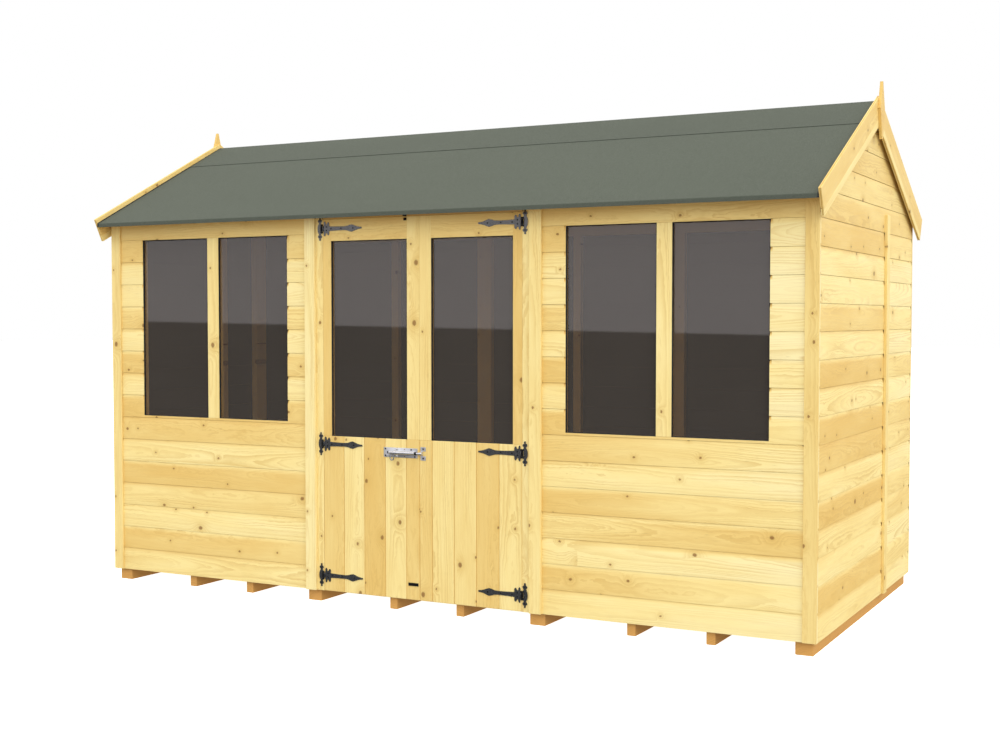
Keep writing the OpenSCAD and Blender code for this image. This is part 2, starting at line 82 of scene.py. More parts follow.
def number(name, default, description, **settings):
    """A number setting with its default."""
    return bpy.props.FloatProperty(name=name, description=description, default=default, **settings)


def length(name, metres, description):
    """A length setting with its default, in metres."""
    return number(name, metres, description, min=0, unit="LENGTH", precision=4)


class SummerHouseBoards(bpy.types.PropertyGroup):
    """Sizes of the boards and of what finishes them."""

    rows: bpy.props.IntProperty(
        name="Rows", description="Boards up the front wall", default=16, min=1
    )
    scoop_h: length("Scoop height", 0.021, "Height of the hollow along the top of a wall board")
    scoop_d: length("Scoop depth", 0.0028, "Depth of the hollow where the next board covers it")
    notch_d: length("Notch depth", 0.006, "Depth of the hollow at an end that meets a strip or a window")
    notch_l: length("Notch length", 0.008, "Length of the deeper hollow beside a window")
    strip_l: length("Notch under a strip", 0.036, "Length of the deeper hollow where a gable strip covers it")
    joint: length("Joint", 0.0003, "Half the gap between two boards")
    vee: length("V joint", 0.002, "Depth of the V between two boards of a leaf")
    ease: length("Eased edge", 0.001, "How far a board's edges are taken off")
    lap: length("Lap", 0.009, "Height of the tongue behind the next wall board")
    reach: length("Closing gap", 0.0007, "Gap left round a shut leaf")
    lip: length("Bargeboard lip", 0.03, "Width of the lighter strip along a bargeboard's lower edge")
    # bead: painted shade, the width of a black strip laid on the felt where it meets a bargeboard's shadow
    # line
    bead: length("Verge bead", 0.0055, "Width of the bitumen bead between the felt and a bargeboard")
    gasket: length("Gasket", 0.003, "Width of the black gasket round each pane")
    screw: length("Screw head", 0.0042, "Radius of a screw head")


class SummerHouseColours(bpy.types.PropertyGroup):
    """Colours of the finishes."""

    pine_pale: colour("Pale pine", "#fbedb5", "Sapwood boards")
    pine_light: colour("Light pine", "#f9e39a", "Most boards")
    pine_gold: colour("Golden pine", "#e6c06e", "Heartwood boards")
    pine_ring: colour("Growth rings", "#d3a956", "Late wood in each growth ring")
    knot: colour("Knots", "#875c2b", "Heart of a knot")
    frame_pine: colour("Frame pine", "#cfae78", "Framing behind the boards")
    bearer: colour("Bearers", "#dba357", "Treated timber under the floor")
    felt: colour("Roofing felt", "#565b50", "Mineral felt")
    # bitumen: the dark specks among the granules, and also painted shade laid over the felt's turned-down
    # eave edges and the lapped edges of the ridge sheet
    bitumen: colour("Bitumen", "#2f3532", "Edges and laps of the felt")
    iron: colour("Black iron", "#323436", "Hinges and small fittings")
    # bright: the bolt's bar, and a painted highlight on the raised guides, domes and keep, lighter than their
    # plates
    bright: colour("Bright zinc", "#e4e6e9", "Bar of the bolt and its guides")
    glass: colour("Glass", "#f2efec", "What each face of a pane lets through")
    haze: colour("Haze", "#ada39a", "Thin film of dust on the panes")


class SummerHouseStage(bpy.types.PropertyGroup):
    """Camera and light."""

    camera_at: bpy.props.FloatVectorProperty(
        name="Camera", description="Place of the camera", default=(3.2002, -6.1855, 1.3168),
        subtype="TRANSLATION", unit="LENGTH",
    )
    camera_turn: number(
        "Turn", math.radians(27.709), "Turn of the camera to the left of straight ahead", subtype="ANGLE"
    )
    camera_tilt: number("Tilt", math.radians(-2.282), "Tilt of the camera above the horizon", subtype="ANGLE")
    above: number("Light from above", 1.5, "Brightness of the upper half of the surroundings", min=0)
    below: number("Light from below", 0.46, "Brightness of the lower half of the surroundings", min=0)
    key: number("Key light", 0.25, "Strength of the soft light from above the front", min=0)


# ---- Reading the frame ----


def corners(node):
    """Vertices of a CAD node, one row each."""
    vertices = frame["nodes"][node].data.vertices
    co = np.empty(len(vertices) * 3)
    vertices.foreach_get("co", co)
    return co.reshape(-1, 3)


def places(node, axis):
    """Where a CAD node's corners lie along an axis, each place once, lowest first."""
    return np.unique(corners(node)[:, axis].round(4))


def from_middle(node):
    """How far from the middle a CAD node's corners lie along X, nearest first."""
    return np.sort(abs(places(node, 0)))


def mirrored(sign, near, far):
    """A stretch between two distances from the middle, on the side of sign, lowest end first."""
    return sorted((sign * near, sign * far))


def outwards(low, high, sign, z=0.0):
    """Which way is out of a gable on the side of sign, and an origin on the inner one of two X."""
    return ("x", (low, 0, z)) if sign > 0 else ("-x", (high, 0, z))


def groups(values, gap):
    """Sorted values split wherever two neighbours are further apart than gap."""
    values = np.sort(values)
    return np.split(values, np.flatnonzero(np.diff(values) > gap) + 1)


def roof_lines():
    """Height of the roof boards' underside at the ridge, and the slope as rise over run."""
    low, _, ridge, _ = places("roof_deck_front", 2)
    return ridge, (ridge - low) / -places("roof_deck_front", 1)[0]


# ---- Meshes ----


def skin(rings, sides, closed=False):
    """Faces between neighbouring rings of points: each joins two points of one ring to the same two
    of the next. An open run is shut with a flat face at each end; a closed one joins up with itself."""
    i, j = np.meshgrid(np.arange(rings if closed else rings - 1), np.arange(sides), indexing="ij")
    i2, j2 = (i + 1) % rings, (j + 1) % sides
    quads = np.stack([i * sides + j, i * sides + j2, i2 * sides + j2, i2 * sides + j], -1)
    faces = quads.reshape(-1, 4).tolist()
    if not closed:
        faces += [list(range(sides)), list(range((rings - 1) * sides, rings * sides))]
    return faces


class Parts:
    """Points and faces gathered for one piece, with the place in its timber of each point."""

    def __init__(self):
        self.points, self.faces, self.grain, self.tone, self.inner = [], [], [], [], []

    def add(self, points, faces, grain=None, tone=0.0, inner=0.0):
        """Adds a closed shape. grain is the place of each point along, across and through its board,
        tone how golden or how dark it is there and inner whether it faces into the house."""
        points = np.asarray(points, float).reshape(-1, 3)
        start = sum(len(p) for p in self.points)
        self.points.append(points)
        self.faces += [[start + v for v in face] for face in faces]
        self.grain.append(points if grain is None else grain.reshape(-1, 3))
        self.tone.append(np.broadcast_to(np.ravel(tone), len(points)))
        self.inner.append(np.broadcast_to(np.ravel(inner), len(points)))

    def piece(self, name, body, material, slot, stands_for=()):
        """The gathered shapes as one object that rides on a body, with its faces turned outwards."""
        mesh = bpy.data.meshes.new(name)
        mesh.from_pydata(np.concatenate(self.points).tolist(), [], self.faces)
        for key, kind, field, values in (
            ("grain", "FLOAT_VECTOR", "vector", self.grain), ("tone", "FLOAT", "value", self.tone),
            ("inner", "FLOAT", "value", self.inner),
        ):
            mesh.attributes.new(key, kind, "POINT").data.foreach_set(field, np.concatenate(values).ravel())
        return dress(name, mesh, body, material, stands_for)

    def boards(self, name, context, node, body="building"):
        """The gathered shapes as a piece of the pale pine that stands for a CAD node."""
        return self.piece(name, body, pine(context), "cladding", [node])


def dress(name, mesh, body, material, stands_for, smooth=30):
    """An object of this mesh, facing outwards, smooth up to an angle in degrees, riding on its body."""
    shell = bmesh.new()
    shell.from_mesh(mesh)
    bmesh.ops.recalc_face_normals(shell, faces=shell.faces)
    shell.to_mesh(mesh)
    shell.free()
    mesh.polygons.foreach_set("use_smooth", np.ones(len(mesh.polygons), bool))
    mesh.set_sharp_from_angle(angle=math.radians(smooth))
    mesh.materials.append(material)
    piece = bpy.data.objects.new(name, mesh)
    bpy.context.scene.collection.objects.link(piece)
    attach(piece, body)
    if stands_for:
        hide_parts(*stands_for)
    return piece


def direction(axis):
    """A direction given as three numbers, or by the name of its axis with a minus sign if need be."""
    if isinstance(axis, str):
        return np.eye(3)["xyz".index(axis[-1])] * (-1 if axis[0] == "-" else 1)
    return np.array(axis, float)


class Bench:
    """Lays boards in one plane: along, across and out of it, each a direction, from an origin."""

    def __init__(self, parts, along, across, out, origin=(0, 0, 0), seed=1):
        self.parts = parts
        self.axes = np.array([direction(a) for a in (along, across, out)])
        self.origin = np.array(origin, float)
        self.random = np.random.default_rng(seed)

    def log(self):
        """Where the next board was cut from its log: a far place along it, and the heart of the
        log a few centimetres to one side of the board and behind it."""
        r = self.random.uniform(size=3)
        return np.array([3 + 40 * r[0], 0.11 * (r[1] - 0.5), 0.02 + 0.07 * r[2]])

    def lay(self, across, back, front, start, end, cut=0.0, tone=0.5, log=None, centre=None, inner=0.0):
        """One board as a stack of eight-cornered rings, one at each level across its width. A ring
        runs from start to end along the board and from back to front through it, with its corners
        cut off by cut. Every value may change from level to level, and tone may have a column for
        each end; inner marks the board's back."""
        measures = (np.asarray(v, float) for v in (across, back, front, start, end, cut))
        a, b, f, s, e, c = np.broadcast_arrays(*measures)
        run = np.stack([s + c, e - c, e, e, e - c, s + c, s, s], -1)
        out = np.stack([f, f, f - c, b + c, b, b, b + c, f - c], -1)
        local = np.stack([run, np.broadcast_to(a[:, None], run.shape), out], -1)
        middle = (a.min() + a.max()) / 2 if centre is None else centre
        grain = local - (0, middle, 0) + (self.log() if log is None else log)
        tone = np.asarray(tone, float)
        tone = tone[:, [0, 1, 1, 1, 1, 0, 0, 0]] if tone.ndim == 2 else tone.reshape(-1, 1)
        tones = np.broadcast_to(tone, run.shape)
        inside = np.broadcast_to(inner * np.array([0, 0, 0, 0, 1, 1, 0, 0]), run.shape)
        self.parts.add(self.origin + local @ self.axes, skin(len(a), 8), grain, tones, inside)

    def plank(self, run, across, depth, ease, tone, rim=0.0, slope=0.0):
        """A straight board with its edges eased by ease. rim is added to the tone of its eased edges, a
        painted shade that darkens the V between two boards, and slope moves its start back along it by that
        much for each metre across."""
        lo, hi = across
        a = np.array([lo, lo + ease, hi - ease, hi])
        shrink = np.array([ease, 0, 0, ease])
        tones = tone + rim * np.array([1, 0, 0, 1])
        start, end = run[0] - slope * a + shrink, run[1] - shrink
        self.lay(a, depth[0] + shrink, depth[1] - shrink, start, end, ease, tones)


def ring_of(section, rectangle, y):
    """A section carried round a rectangle in the plane of the front, mitred at its corners. A
    section point (p, q) lies p inside the rectangle's edge and q in front of y."""
    x0, z0, x1, z1 = rectangle
    p, q = np.array(section, float).T
    corner = [(x0, z0, 1, 1), (x1, z0, -1, 1), (x1, z1, -1, -1), (x0, z1, 1, -1)]
    rings = [np.stack([x + i * p, y - q, z + k * p], -1) for x, z, i, k in corner]
    return np.concatenate(rings), skin(4, len(section), closed=True)


def run_along_x(outline, x0, x1, steps=1):
    """A closed outline in Y and Z carried along X in equal steps."""
    x = np.linspace(x0, x1, steps + 1)
    y, z = np.array(outline, float).T
    rings = np.stack(np.broadcast_arrays(x[:, None], y[None, :], z[None, :]), -1)
    return rings, skin(len(x), len(outline))


def ribbon(path, thickness):
    """The outline of a sheet that follows a path of points: the path, then the path moved square to
    itself by the sheet's thickness, walked back."""
    path = np.array(path, float)
    step = np.diff(path, axis=0)
    step /= np.linalg.norm(step, axis=1)[:, None]
    normal = np.stack([-step[:, 1], step[:, 0]], -1)
    joined = np.vstack([normal[:1], normal[:-1] + normal[1:], normal[-1:]])
    joined /= np.linalg.norm(joined, axis=1)[:, None]
    first = np.vstack([normal[:1], normal])
    joined /= np.einsum("ij,ij->i", joined, first)[:, None]
    return np.vstack([path, (path + joined * thickness)[::-1]])


def turned(centre, axis, profile, sides=20):
    """A profile of (height, radius) points turned round an axis: each ring is a circle of that
    radius at that height along the axis."""
    height, radius = np.array(profile, float).T
    axis = direction(axis)
    side = np.cross(axis, (0.6, 0.3, 0.74))
    side /= np.linalg.norm(side)
    other = np.cross(axis, side)
    t = np.linspace(0, 2 * math.pi, sides, endpoint=False)
    circle = np.cos(t)[:, None] * side + np.sin(t)[:, None] * other
    rings = np.array(centre) + height[:, None, None] * axis + radius[:, None, None] * circle
    return rings, skin(len(height), sides)


SCREW_STAND = 0.0011  # height of a screw head
# A dome with a dished middle: shares of that height and of the head's radius
SCREW_PROFILE = [(-0.0006, 0.9), (0, 1), (0.45, 0.94), (0.85, 0.68), (1, 0.4), (0.5, 0.34), (0.45, 0.02)]


def screw_heads(spots, radius):
    """A round screw head at each of some spots on the front, facing forward."""
    profile = [(height * SCREW_STAND, share * radius) for height, share in SCREW_PROFILE]
    return [turned(spot, "-y", profile, 14) for spot in spots]


def fitting(name, body, material, slot, shapes):
    """A piece made of closed shapes, each given as its points and its faces."""
    parts = Parts()
    for points, faces in shapes:
        parts.add(points, faces)
    parts.piece(name, body, material, slot)


# ---- Materials ----


class Value:
    """An output in a node tree. Arithmetic on it adds Math nodes to the tree."""

    def __init__(self, shades, socket):
        self.shades, self.socket = shades, socket

    def math(self, operation, *others):
        return self.shades.math(operation, self, *others)

    def __add__(self, other):
        return self.math("ADD", other)

    def __sub__(self, other):
        return self.math("SUBTRACT", other)

    def __rsub__(self, other):
        return self.shades.math("SUBTRACT", other, self)

    def __mul__(self, other):
        return self.math("MULTIPLY", other)

    def __truediv__(self, other):
        return self.math("DIVIDE", other)

    __radd__ = __add__
    __rmul__ = __mul__

    def other(self, name):
        """Another output of the node that this one comes from."""
        return Value(self.shades, self.socket.node.outputs[name])


class Shades:
    """The node tree of a material or of the world."""

    def __init__(self, owner):
        owner.use_nodes = True
        self.tree = owner.node_tree
        self.tree.nodes.clear()

    def node(self, kind, settings=None, inputs=None, output=0):
        """Makes a node: its settings first, then a value or a link for each input named."""
        made = self.tree.nodes.new(kind)
        for key, value in (settings or {}).items():
            setattr(made, key, value)
        for key, value in (inputs or {}).items():
            socket = made.inputs[key]
            if isinstance(value, Value):
                self.tree.links.new(value.socket, socket)
            elif socket.type == "RGBA":
                socket.default_value = (*value[:3], 1)
            else:
                socket.default_value = value
        return Value(self, made.outputs[output]) if len(made.outputs) else None

    def math(self, operation, *values):
        return self.node("ShaderNodeMath", {"operation": operation}, dict(enumerate(values)))

    def smooth(self, value, low, high):
        """0 where value is at low, 1 where it is at high, and a smooth step between."""
        return self.node(
            "ShaderNodeMapRange", {"interpolation_type": "SMOOTHSTEP"},
            {"Value": value, "From Min": low, "From Max": high},
        )

    def blend(self, share, a, b):
        """Colour a changed to b by share."""
        return self.node("ShaderNodeMix", {"data_type": "RGBA"}, {0: share, 6: a, 7: b}, 2)

    def place(self):
        """A point's place on its own object."""
        return self.node("ShaderNodeTexCoord", output="Object")

    def attribute(self, name, output="Fac"):
        """What a mesh holds for each point under a name."""
        return self.node("ShaderNodeAttribute", {"attribute_name": name}, output=output)

    def vector(self, operation, a, b=(0, 0, 0), output="Vector"):
        """Vector Math on two places, or a place and three numbers."""
        return self.node("ShaderNodeVectorMath", {"operation": operation}, {0: a, 1: b}, output)

    def noise(self, place, scale, detail=2.0, rough=0.5):
        """Smooth noise about 0.5 at a place, with that many features to the metre along each axis."""
        scaled = self.vector("MULTIPLY", place, scale)
        inputs = {"Vector": scaled, "Scale": 1.0, "Detail": detail, "Roughness": rough}
        return self.node("ShaderNodeTexNoise", {}, inputs)

    def cells(self, place, scale, flat=False):
        """The nearest of many random points to a place, with scale of them to the metre."""
        settings = {"voronoi_dimensions": "2D"} if flat else {}
        return self.node("ShaderNodeTexVoronoi", settings, {"Vector": place, "Scale": scale})

    def channels(self, colour):
        """A colour taken apart."""
        return self.node("ShaderNodeSeparateColor", {}, {0: colour})

    def bump(self, height, distance, strength=1.0):
        """A normal tipped by a height from 0 to 1 that stands for distance in metres."""
        return self.node("ShaderNodeBump", {}, {"Height": height, "Distance": distance, "Strength": strength})

    def principled(self, **inputs):
        """A Principled shader. Its inputs are named with _ for a space."""
        named = {key.replace("_", " "): value for key, value in inputs.items()}
        return self.node("ShaderNodeBsdfPrincipled", {}, named)

    def surface(self, **inputs):
        """A Principled shader on the material's output."""
        self.node("ShaderNodeOutputMaterial", {}, {"Surface": self.principled(**inputs)})


def found_by_name(fill):
    """Makes fill, which fills an empty node tree, into a maker of materials by name. A material is
    filled the first time its name is asked for, and found again after that, so a name is never one
    that the frame's own materials have."""

    def find(name, *settings):
        made = bpy.data.materials.get(name)
        if not made:
            made = bpy.data.materials.new(name)
            fill(Shades(made), *settings)
        return made

    return find


RING = 0.0062  # usual width of a growth ring
KNOT_CELL = (0.27, 0.08)  # one knot at most in each such stretch of board
FACE_ORDER = {"X": (0, 1, 2), "Y": (1, 0, 2), "Z": (2, 0, 1)}
INNER_SHADE = tint("#2d2b2a")  # painted shade: the backs of the boards, seen from inside the house, darkened as if unlit


@found_by_name
def wood(sh, pale, light, gold, ring, knot, along=None):
    """Sawn timber. Growth rings are circles round the heart of the log, whose distance wanders
    slowly along the board, so they show as long arches on a face and as arcs on an end. Knots are
    round, in some of the cells of a loose grid, and push the rings aside. along names the axis of
    the grain on a CAD node, where the rings are flat; without it the board's own places are read."""
    if along:
        xyz = sh.node("ShaderNodeSeparateXYZ", {}, {0: sh.place()})
        u, v, w = (xyz.other("XYZ"[i]) for i in FACE_ORDER[along])
        place = sh.node("ShaderNodeCombineXYZ", {}, {0: u, 1: v, 2: w})
        tone = sh.noise(place, (0.4, 7, 7), 1)
        from_heart = v * 0.8 + w * 0.6
    else:
        place = sh.attribute("grain", "Vector")
        xyz = sh.node("ShaderNodeSeparateXYZ", {}, {0: place})
        u, v, w = (xyz.other(a) for a in "XYZ")
        tone = sh.attribute("tone")
        from_heart = sh.math("SQRT", v * v + w * w)

    # knots
    cell = sh.node("ShaderNodeCombineXYZ", {}, {0: u / KNOT_CELL[0], 1: v / KNOT_CELL[1]})
    nearest = sh.cells(cell, 1.0, flat=True)
    away = sh.vector("SUBTRACT", cell, nearest.other("Position"))
    away = sh.vector("MULTIPLY", away, (0.8 * KNOT_CELL[0], KNOT_CELL[1], 0))
    ragged = (sh.noise(place, (190, 190, 190), 1) - 0.5) * 0.005
    distance = sh.vector("LENGTH", away, output="Value") + ragged
    chance = sh.channels(nearest.other("Color"))
    there = sh.math("LESS_THAN", chance.other("Green"), 0.22 + tone * 0.5)
    size = 0.0042 + 0.008 * sh.math("POWER", chance.other("Red"), 4.0)
    across = distance / size
    core = there * sh.smooth(across, 1.25, 0.6)
    halo = there * sh.math("EXPONENT", across * across * -0.09)
    push = halo * size * 3.4

    # growth rings
    wander = (sh.noise(place, (0.8, 3, 3), 1) - 0.5) * 0.11
    wobble = (sh.noise(place, (9, 30, 30), 3, 0.6) - 0.5) * (0.008 + tone * 0.014)
    radius = from_heart + wander + wobble + push
    settings, inputs = {"noise_dimensions": "1D"}, {"W": radius * 70, "Scale": 1.0, "Detail": 2.0}
    uneven = sh.node("ShaderNodeTexNoise", settings, inputs)
    phase = sh.math("FRACT", radius / RING + (uneven - 0.5) * 3.2)
    late = sh.smooth(phase, 0.2, 0.88) * sh.smooth(phase, 1.0, 0.9)
    strength = sh.smooth(sh.noise(place, (1.6, 11, 11), 2), 0.32, 0.7)

    # colour
    fibre = sh.noise(place, (14, 480, 480), 4, 0.65)
    fleck = sh.smooth(sh.noise(place, (26, 300, 300), 2, 0.6), 0.58, 0.74)
    cloud = sh.noise(place, (2.6, 15, 15), 3)
    golden = tone + (cloud - 0.5) * 0.8
    base = sh.blend(sh.smooth(golden, -0.75, 0.25), pale, light)
    base = sh.blend(sh.smooth(golden, -0.1, 1.1), base, gold)
    base = sh.blend(sh.smooth(tone, 1.3, 2.0) * 0.8, base, ring)
    base = sh.blend(late * (0.09 + strength * 0.38), base, ring)
    base = sh.blend((fibre - 0.42) * 0.55, base, ring)
    base = sh.blend(fleck * strength * 0.2, base, knot)
    base = sh.blend(halo * 0.4, base, ring)
    base = sh.blend(core * 0.8, base, knot)
    if not along:
        # painted shade: the backs of the wall boards are blended almost fully to a dark colour, which stands
        # in for the shade inside the closed house
        inner = sh.attribute("inner")
        base = sh.blend(inner * 0.98, base, INNER_SHADE)
    height = late * 0.3 + fibre * 0.6 + core * 0.5
    sh.surface(
        Base_Color=base, Roughness=0.62 - late * 0.1 + (fibre - 0.5) * 0.2,
        Normal=sh.bump(height, 0.0004, 0.5), Specular_IOR_Level=0.3,
    )


@found_by_name
def felt(sh, colours):
    """Mineral roofing felt: fine granules of slightly different grey-greens pressed in bitumen."""
    place = sh.place()
    grit = sh.cells(place, 620.0)
    fleck = sh.channels(grit.other("Color"))
    cloud = sh.noise(place, (1.4, 3.2, 3.2), 3)
    # painted shade: where the tone is high, at the turned-down eave and along the ridge sheet's lapped edges,
    # the felt is darkened towards bitumen
    edge = sh.attribute("tone")
    light = tuple(1.25 * c for c in colours.felt)
    dark = tuple(0.78 * c for c in colours.felt)
    base = sh.blend(fleck, light, dark)
    base = sh.blend(sh.smooth(fleck.other("Green"), 0.8, 1.0) * 0.3, base, colours.bitumen)
    base = sh.blend(sh.smooth(cloud, 0.3, 0.7) * 0.12, base, light)
    base = sh.blend(edge * 0.12, base, colours.bitumen)
    height = sh.smooth(grit, 0.7, 0.1) + cloud * 0.5
    sh.surface(
        Base_Color=base, Roughness=0.88 + (fleck - 0.5) * 0.12, Normal=sh.bump(height, 0.0008, 0.35),
        Specular_IOR_Level=0.2,
    )


@found_by_name
def metal(sh, base, roughness, metallic, fleck_scale, fleck_share, sheen=0.5, ior=1.5):
    """A coated or plated metal: cloudy patches over a fine orange-peel skin."""
    place = sh.place()
    fleck = sh.channels(sh.cells(place, fleck_scale).other("Color"))
    peel = sh.noise(place, (900, 900, 900), 2)
    worn = sh.noise(place, (60, 60, 60), 3)
    shade = tuple(0.55 * c for c in base)
    sh.surface(
        Base_Color=sh.blend(fleck * fleck_share + (worn - 0.5) * 0.3, base, shade),
        Metallic=metallic, Roughness=roughness + (worn - 0.5) * 0.2 + (fleck - 0.5) * 0.06,
        Normal=sh.bump(peel, 0.00008, 0.3), Specular_IOR_Level=sheen, IOR=ior,
    )


@found_by_name
def rubber(sh, base):
    """Black rubber or bitumen: dull, with a little dust."""
    place = sh.place()
    dust = sh.noise(place, (140, 140, 140), 3)
    sh.surface(
        Base_Color=sh.blend(sh.smooth(dust, 0.4, 0.8) * 0.3, base, tint("#4a4a46")),
        Roughness=0.6 + (dust - 0.5) * 0.3, Normal=sh.bump(dust, 0.0002, 0.3),
    )


@found_by_name
def glazing(sh, through, haze):
    """Thin glass: it mirrors more towards grazing, as 0.043 + 0.957 (1 - cosine) to the fifth, and
    lets the rest through with a slight tint, all but a thin film of dust that catches the light."""
    place = sh.place()
    film = sh.noise(place, (5, 5, 5), 3)
    clear = sh.node("ShaderNodeBsdfTransparent", {}, {"Color": through})
    dust = sh.principled(Base_Color=haze, Roughness=1.0, Specular_IOR_Level=0.0)
    hazy = sh.node("ShaderNodeMixShader", {}, {0: 0.068 + film * 0.014, 1: clear, 2: dust})
    mirror = sh.principled(Base_Color=(0.95, 0.95, 0.95), Metallic=1.0, Roughness=0.0)
    grazing = sh.node("ShaderNodeLayerWeight", {}, {"Blend": 0.5}, "Facing")
    share = 0.043 + 0.957 * sh.math("POWER", grazing, 5.0)
    both = sh.node("ShaderNodeMixShader", {}, {0: share, 1: hazy, 2: mirror})
    sh.node("ShaderNodeOutputMaterial", {}, {"Surface": both})


def finishes(context):
    """The colours set in the panel."""
    return context.scene.summer_house_colours


def pine(context, along=None):
    """The pale pine of the boards, or with along, of the framing behind them."""
    c = finishes(context)
    light = c.pine_light if along is None else c.frame_pine
    gold = c.pine_gold if along is None else c.pine_ring
    return wood(f"pine {along or 'boards'}", c.pine_pale, light, gold, c.pine_ring, c.knot, along)


def iron(context):
    return metal("black iron", finishes(context).iron, 0.24, 0.0, 300, 0.1, 1.0, 1.6)


def blackened():
    """The dull black of screws, knuckles and small fittings."""
    return metal("dark screws", tint("#141516"), 0.7, 0.0, 300, 0.1, 0.15)


def bright_zinc(context):
    """The bright plate of the bolt's bar and its guides; on the guides, their domes and the keep it is a
    painted highlight, lighter than the plate they stand on.
    """
    return metal("bright zinc", finishes(context).bright, 0.18, 0.85, 120, 0.15)


def paint(node, material):
    """Gives a CAD node that stays a material."""
    slots = frame["nodes"][node].data.materials
    slots.clear()
    slots.append(material)


# ---- Walls ----

# How golden each row of boards is, from the lowest up, at the ends of the walls near the doors
# and at the far ends: below 0 is pale, 1 is golden
ROW_TONES = (
    0.25, 0.8, 0.1, 0.3, 0.9, 0.15, 0.75, 0.9, 0.1, 0.85,
    0.05, 0.6, 0.0, 0.05, 0.75, 0.6, 0.3, 0.6, 0.4, 0.45,
)
FAR_TONES = (
    -0.35, -0.1, -0.4, 0.7, 0.0, -0.3, -0.2, 0.1, -0.5, -0.1,
    -0.6, -0.3, -0.6, -0.5, -0.2, 0.4, 0.1, 0.4, 0.2, 0.3,
)
# Where along a wall each list holds; between the two places it runs from one to the other
FRONT_TONES = {-1: (-1.75, 2), 1: (0.6, 1.75)}  # to the left and to the right of the doors
BACK_TONES = (1.8, -2.5)
NEAR, MIXED = (10, 11), (-11, 12)  # the first list all along, or half of each
JOINT_SHADE_TONE = 2.0  # painted shade: the tongue seen in a joint is given a darker tone, standing in for the gap's shadow


def courses(low, pitch, count):
    """Each row of boards from low upwards, with the heights of its lower and upper joint."""
    return [(row, low + row * pitch, low + (row + 1) * pitch) for row in range(count)]


def shiplap(sizes, z0, z1, thickness, under, over, depth):
    """Levels up one board from z0 to z1, and how far its face and its back lie behind the wall's
    face at each. Over it, the face slopes back to depth in a straight line and runs on as a tongue
    behind the next board; under it, the back is rebated for the tongue below."""
    z0, z1 = z0 + sizes.joint, z1 - sizes.joint
    z, face = [z0, z0 + sizes.ease / 2], [-sizes.ease / 2, 0]
    if over:
        z += [z1 - sizes.scoop_h, z1, z1 + 0.0002, z1 + sizes.lap - sizes.ease]
        face += [0, -depth, -thickness / 2 - 0.0002, -thickness / 2 - 0.0002]
    else:
        z, face = z + [z1], face + [0]
    step = [z0 + sizes.lap, z0 + sizes.lap + 0.0001]
    levels = np.unique(np.round(z + step if under else z, 6))
    back = np.where(levels <= step[0] + 1e-6, 0.0004 - thickness / 2 if under else -thickness, -thickness)
    return levels, np.interp(levels, z, face), back


def board_tones(rows, ends, wall):
    """The tone of each level at each of its two ends: straight from ROW_TONES at the first place of
    wall to FAR_TONES at the second."""
    share = (np.stack(ends, -1) - wall[0]) / (wall[1] - wall[0])
    near, far = np.array(ROW_TONES)[rows][:, None], np.array(FAR_TONES)[rows][:, None]
    return near + (far - near) * share.clip(0, 1)


def lay_row(bench, sizes, row, thickness, stretches, wall, kink=None):
    """One row of a wall. Each stretch is (lowest, highest, start, end, under, over, notch); start and
    end are places along the wall, or functions of height where the roof cuts the board. The hollow
    is deeper over the length of notch, at the end if it is above 0 and at the start if below. It has
    the tone of the next row. wall is the place of each of the two lists of tones along the wall, and
    a kink is a height that needs a level of its own."""
    log = bench.log()
    middle = (stretches[0][0] + stretches[0][1]) / 2
    shallow, deep = sizes.scoop_d, sizes.notch_d
    lengths = []
    for lo, hi, start, end, under, over, notch in stretches:
        if notch > 0:
            cuts = [(start, end - notch, shallow), (end - notch, end, deep)]
        elif notch < 0:
            cuts = [(start, start - notch, deep), (start - notch, end, shallow)]
        else:
            cuts = [(start, end, shallow)]
        lengths += [(lo, hi, *cut, under, over) for cut in cuts]
    for lo, hi, start, end, depth, under, over in lengths:
        z, face, back = shiplap(sizes, lo, hi, thickness, under, over, depth)
        if kink and z[0] < kink < z[-1]:
            z2 = np.unique(np.append(z, round(kink, 6)))
            face, back, z = np.interp(z2, z, face), np.interp(z2, z, back), z2
        ends = [np.broadcast_to(v(z) if callable(v) else v, z.shape) for v in (start, end)]
        rows = np.where((face < -0.0001) & (z > middle), row + 1, row) % len(ROW_TONES)
        tones = board_tones(rows, ends, wall)
        # painted shade: the tongue behind a joint is darkened
        tones[face < -thickness / 2] = JOINT_SHADE_TONE
        bench.lay(z, back, face, *ends, cut=0.0002, tone=tones, log=log, centre=middle, inner=1.0)


class Piecework:
    """What every operator here shares."""

    bl_options = {"REGISTER", "UNDO"}

    def execute(self, context):
        self.build(context, context.scene.summer_house_boards)
        return {"FINISHED"}


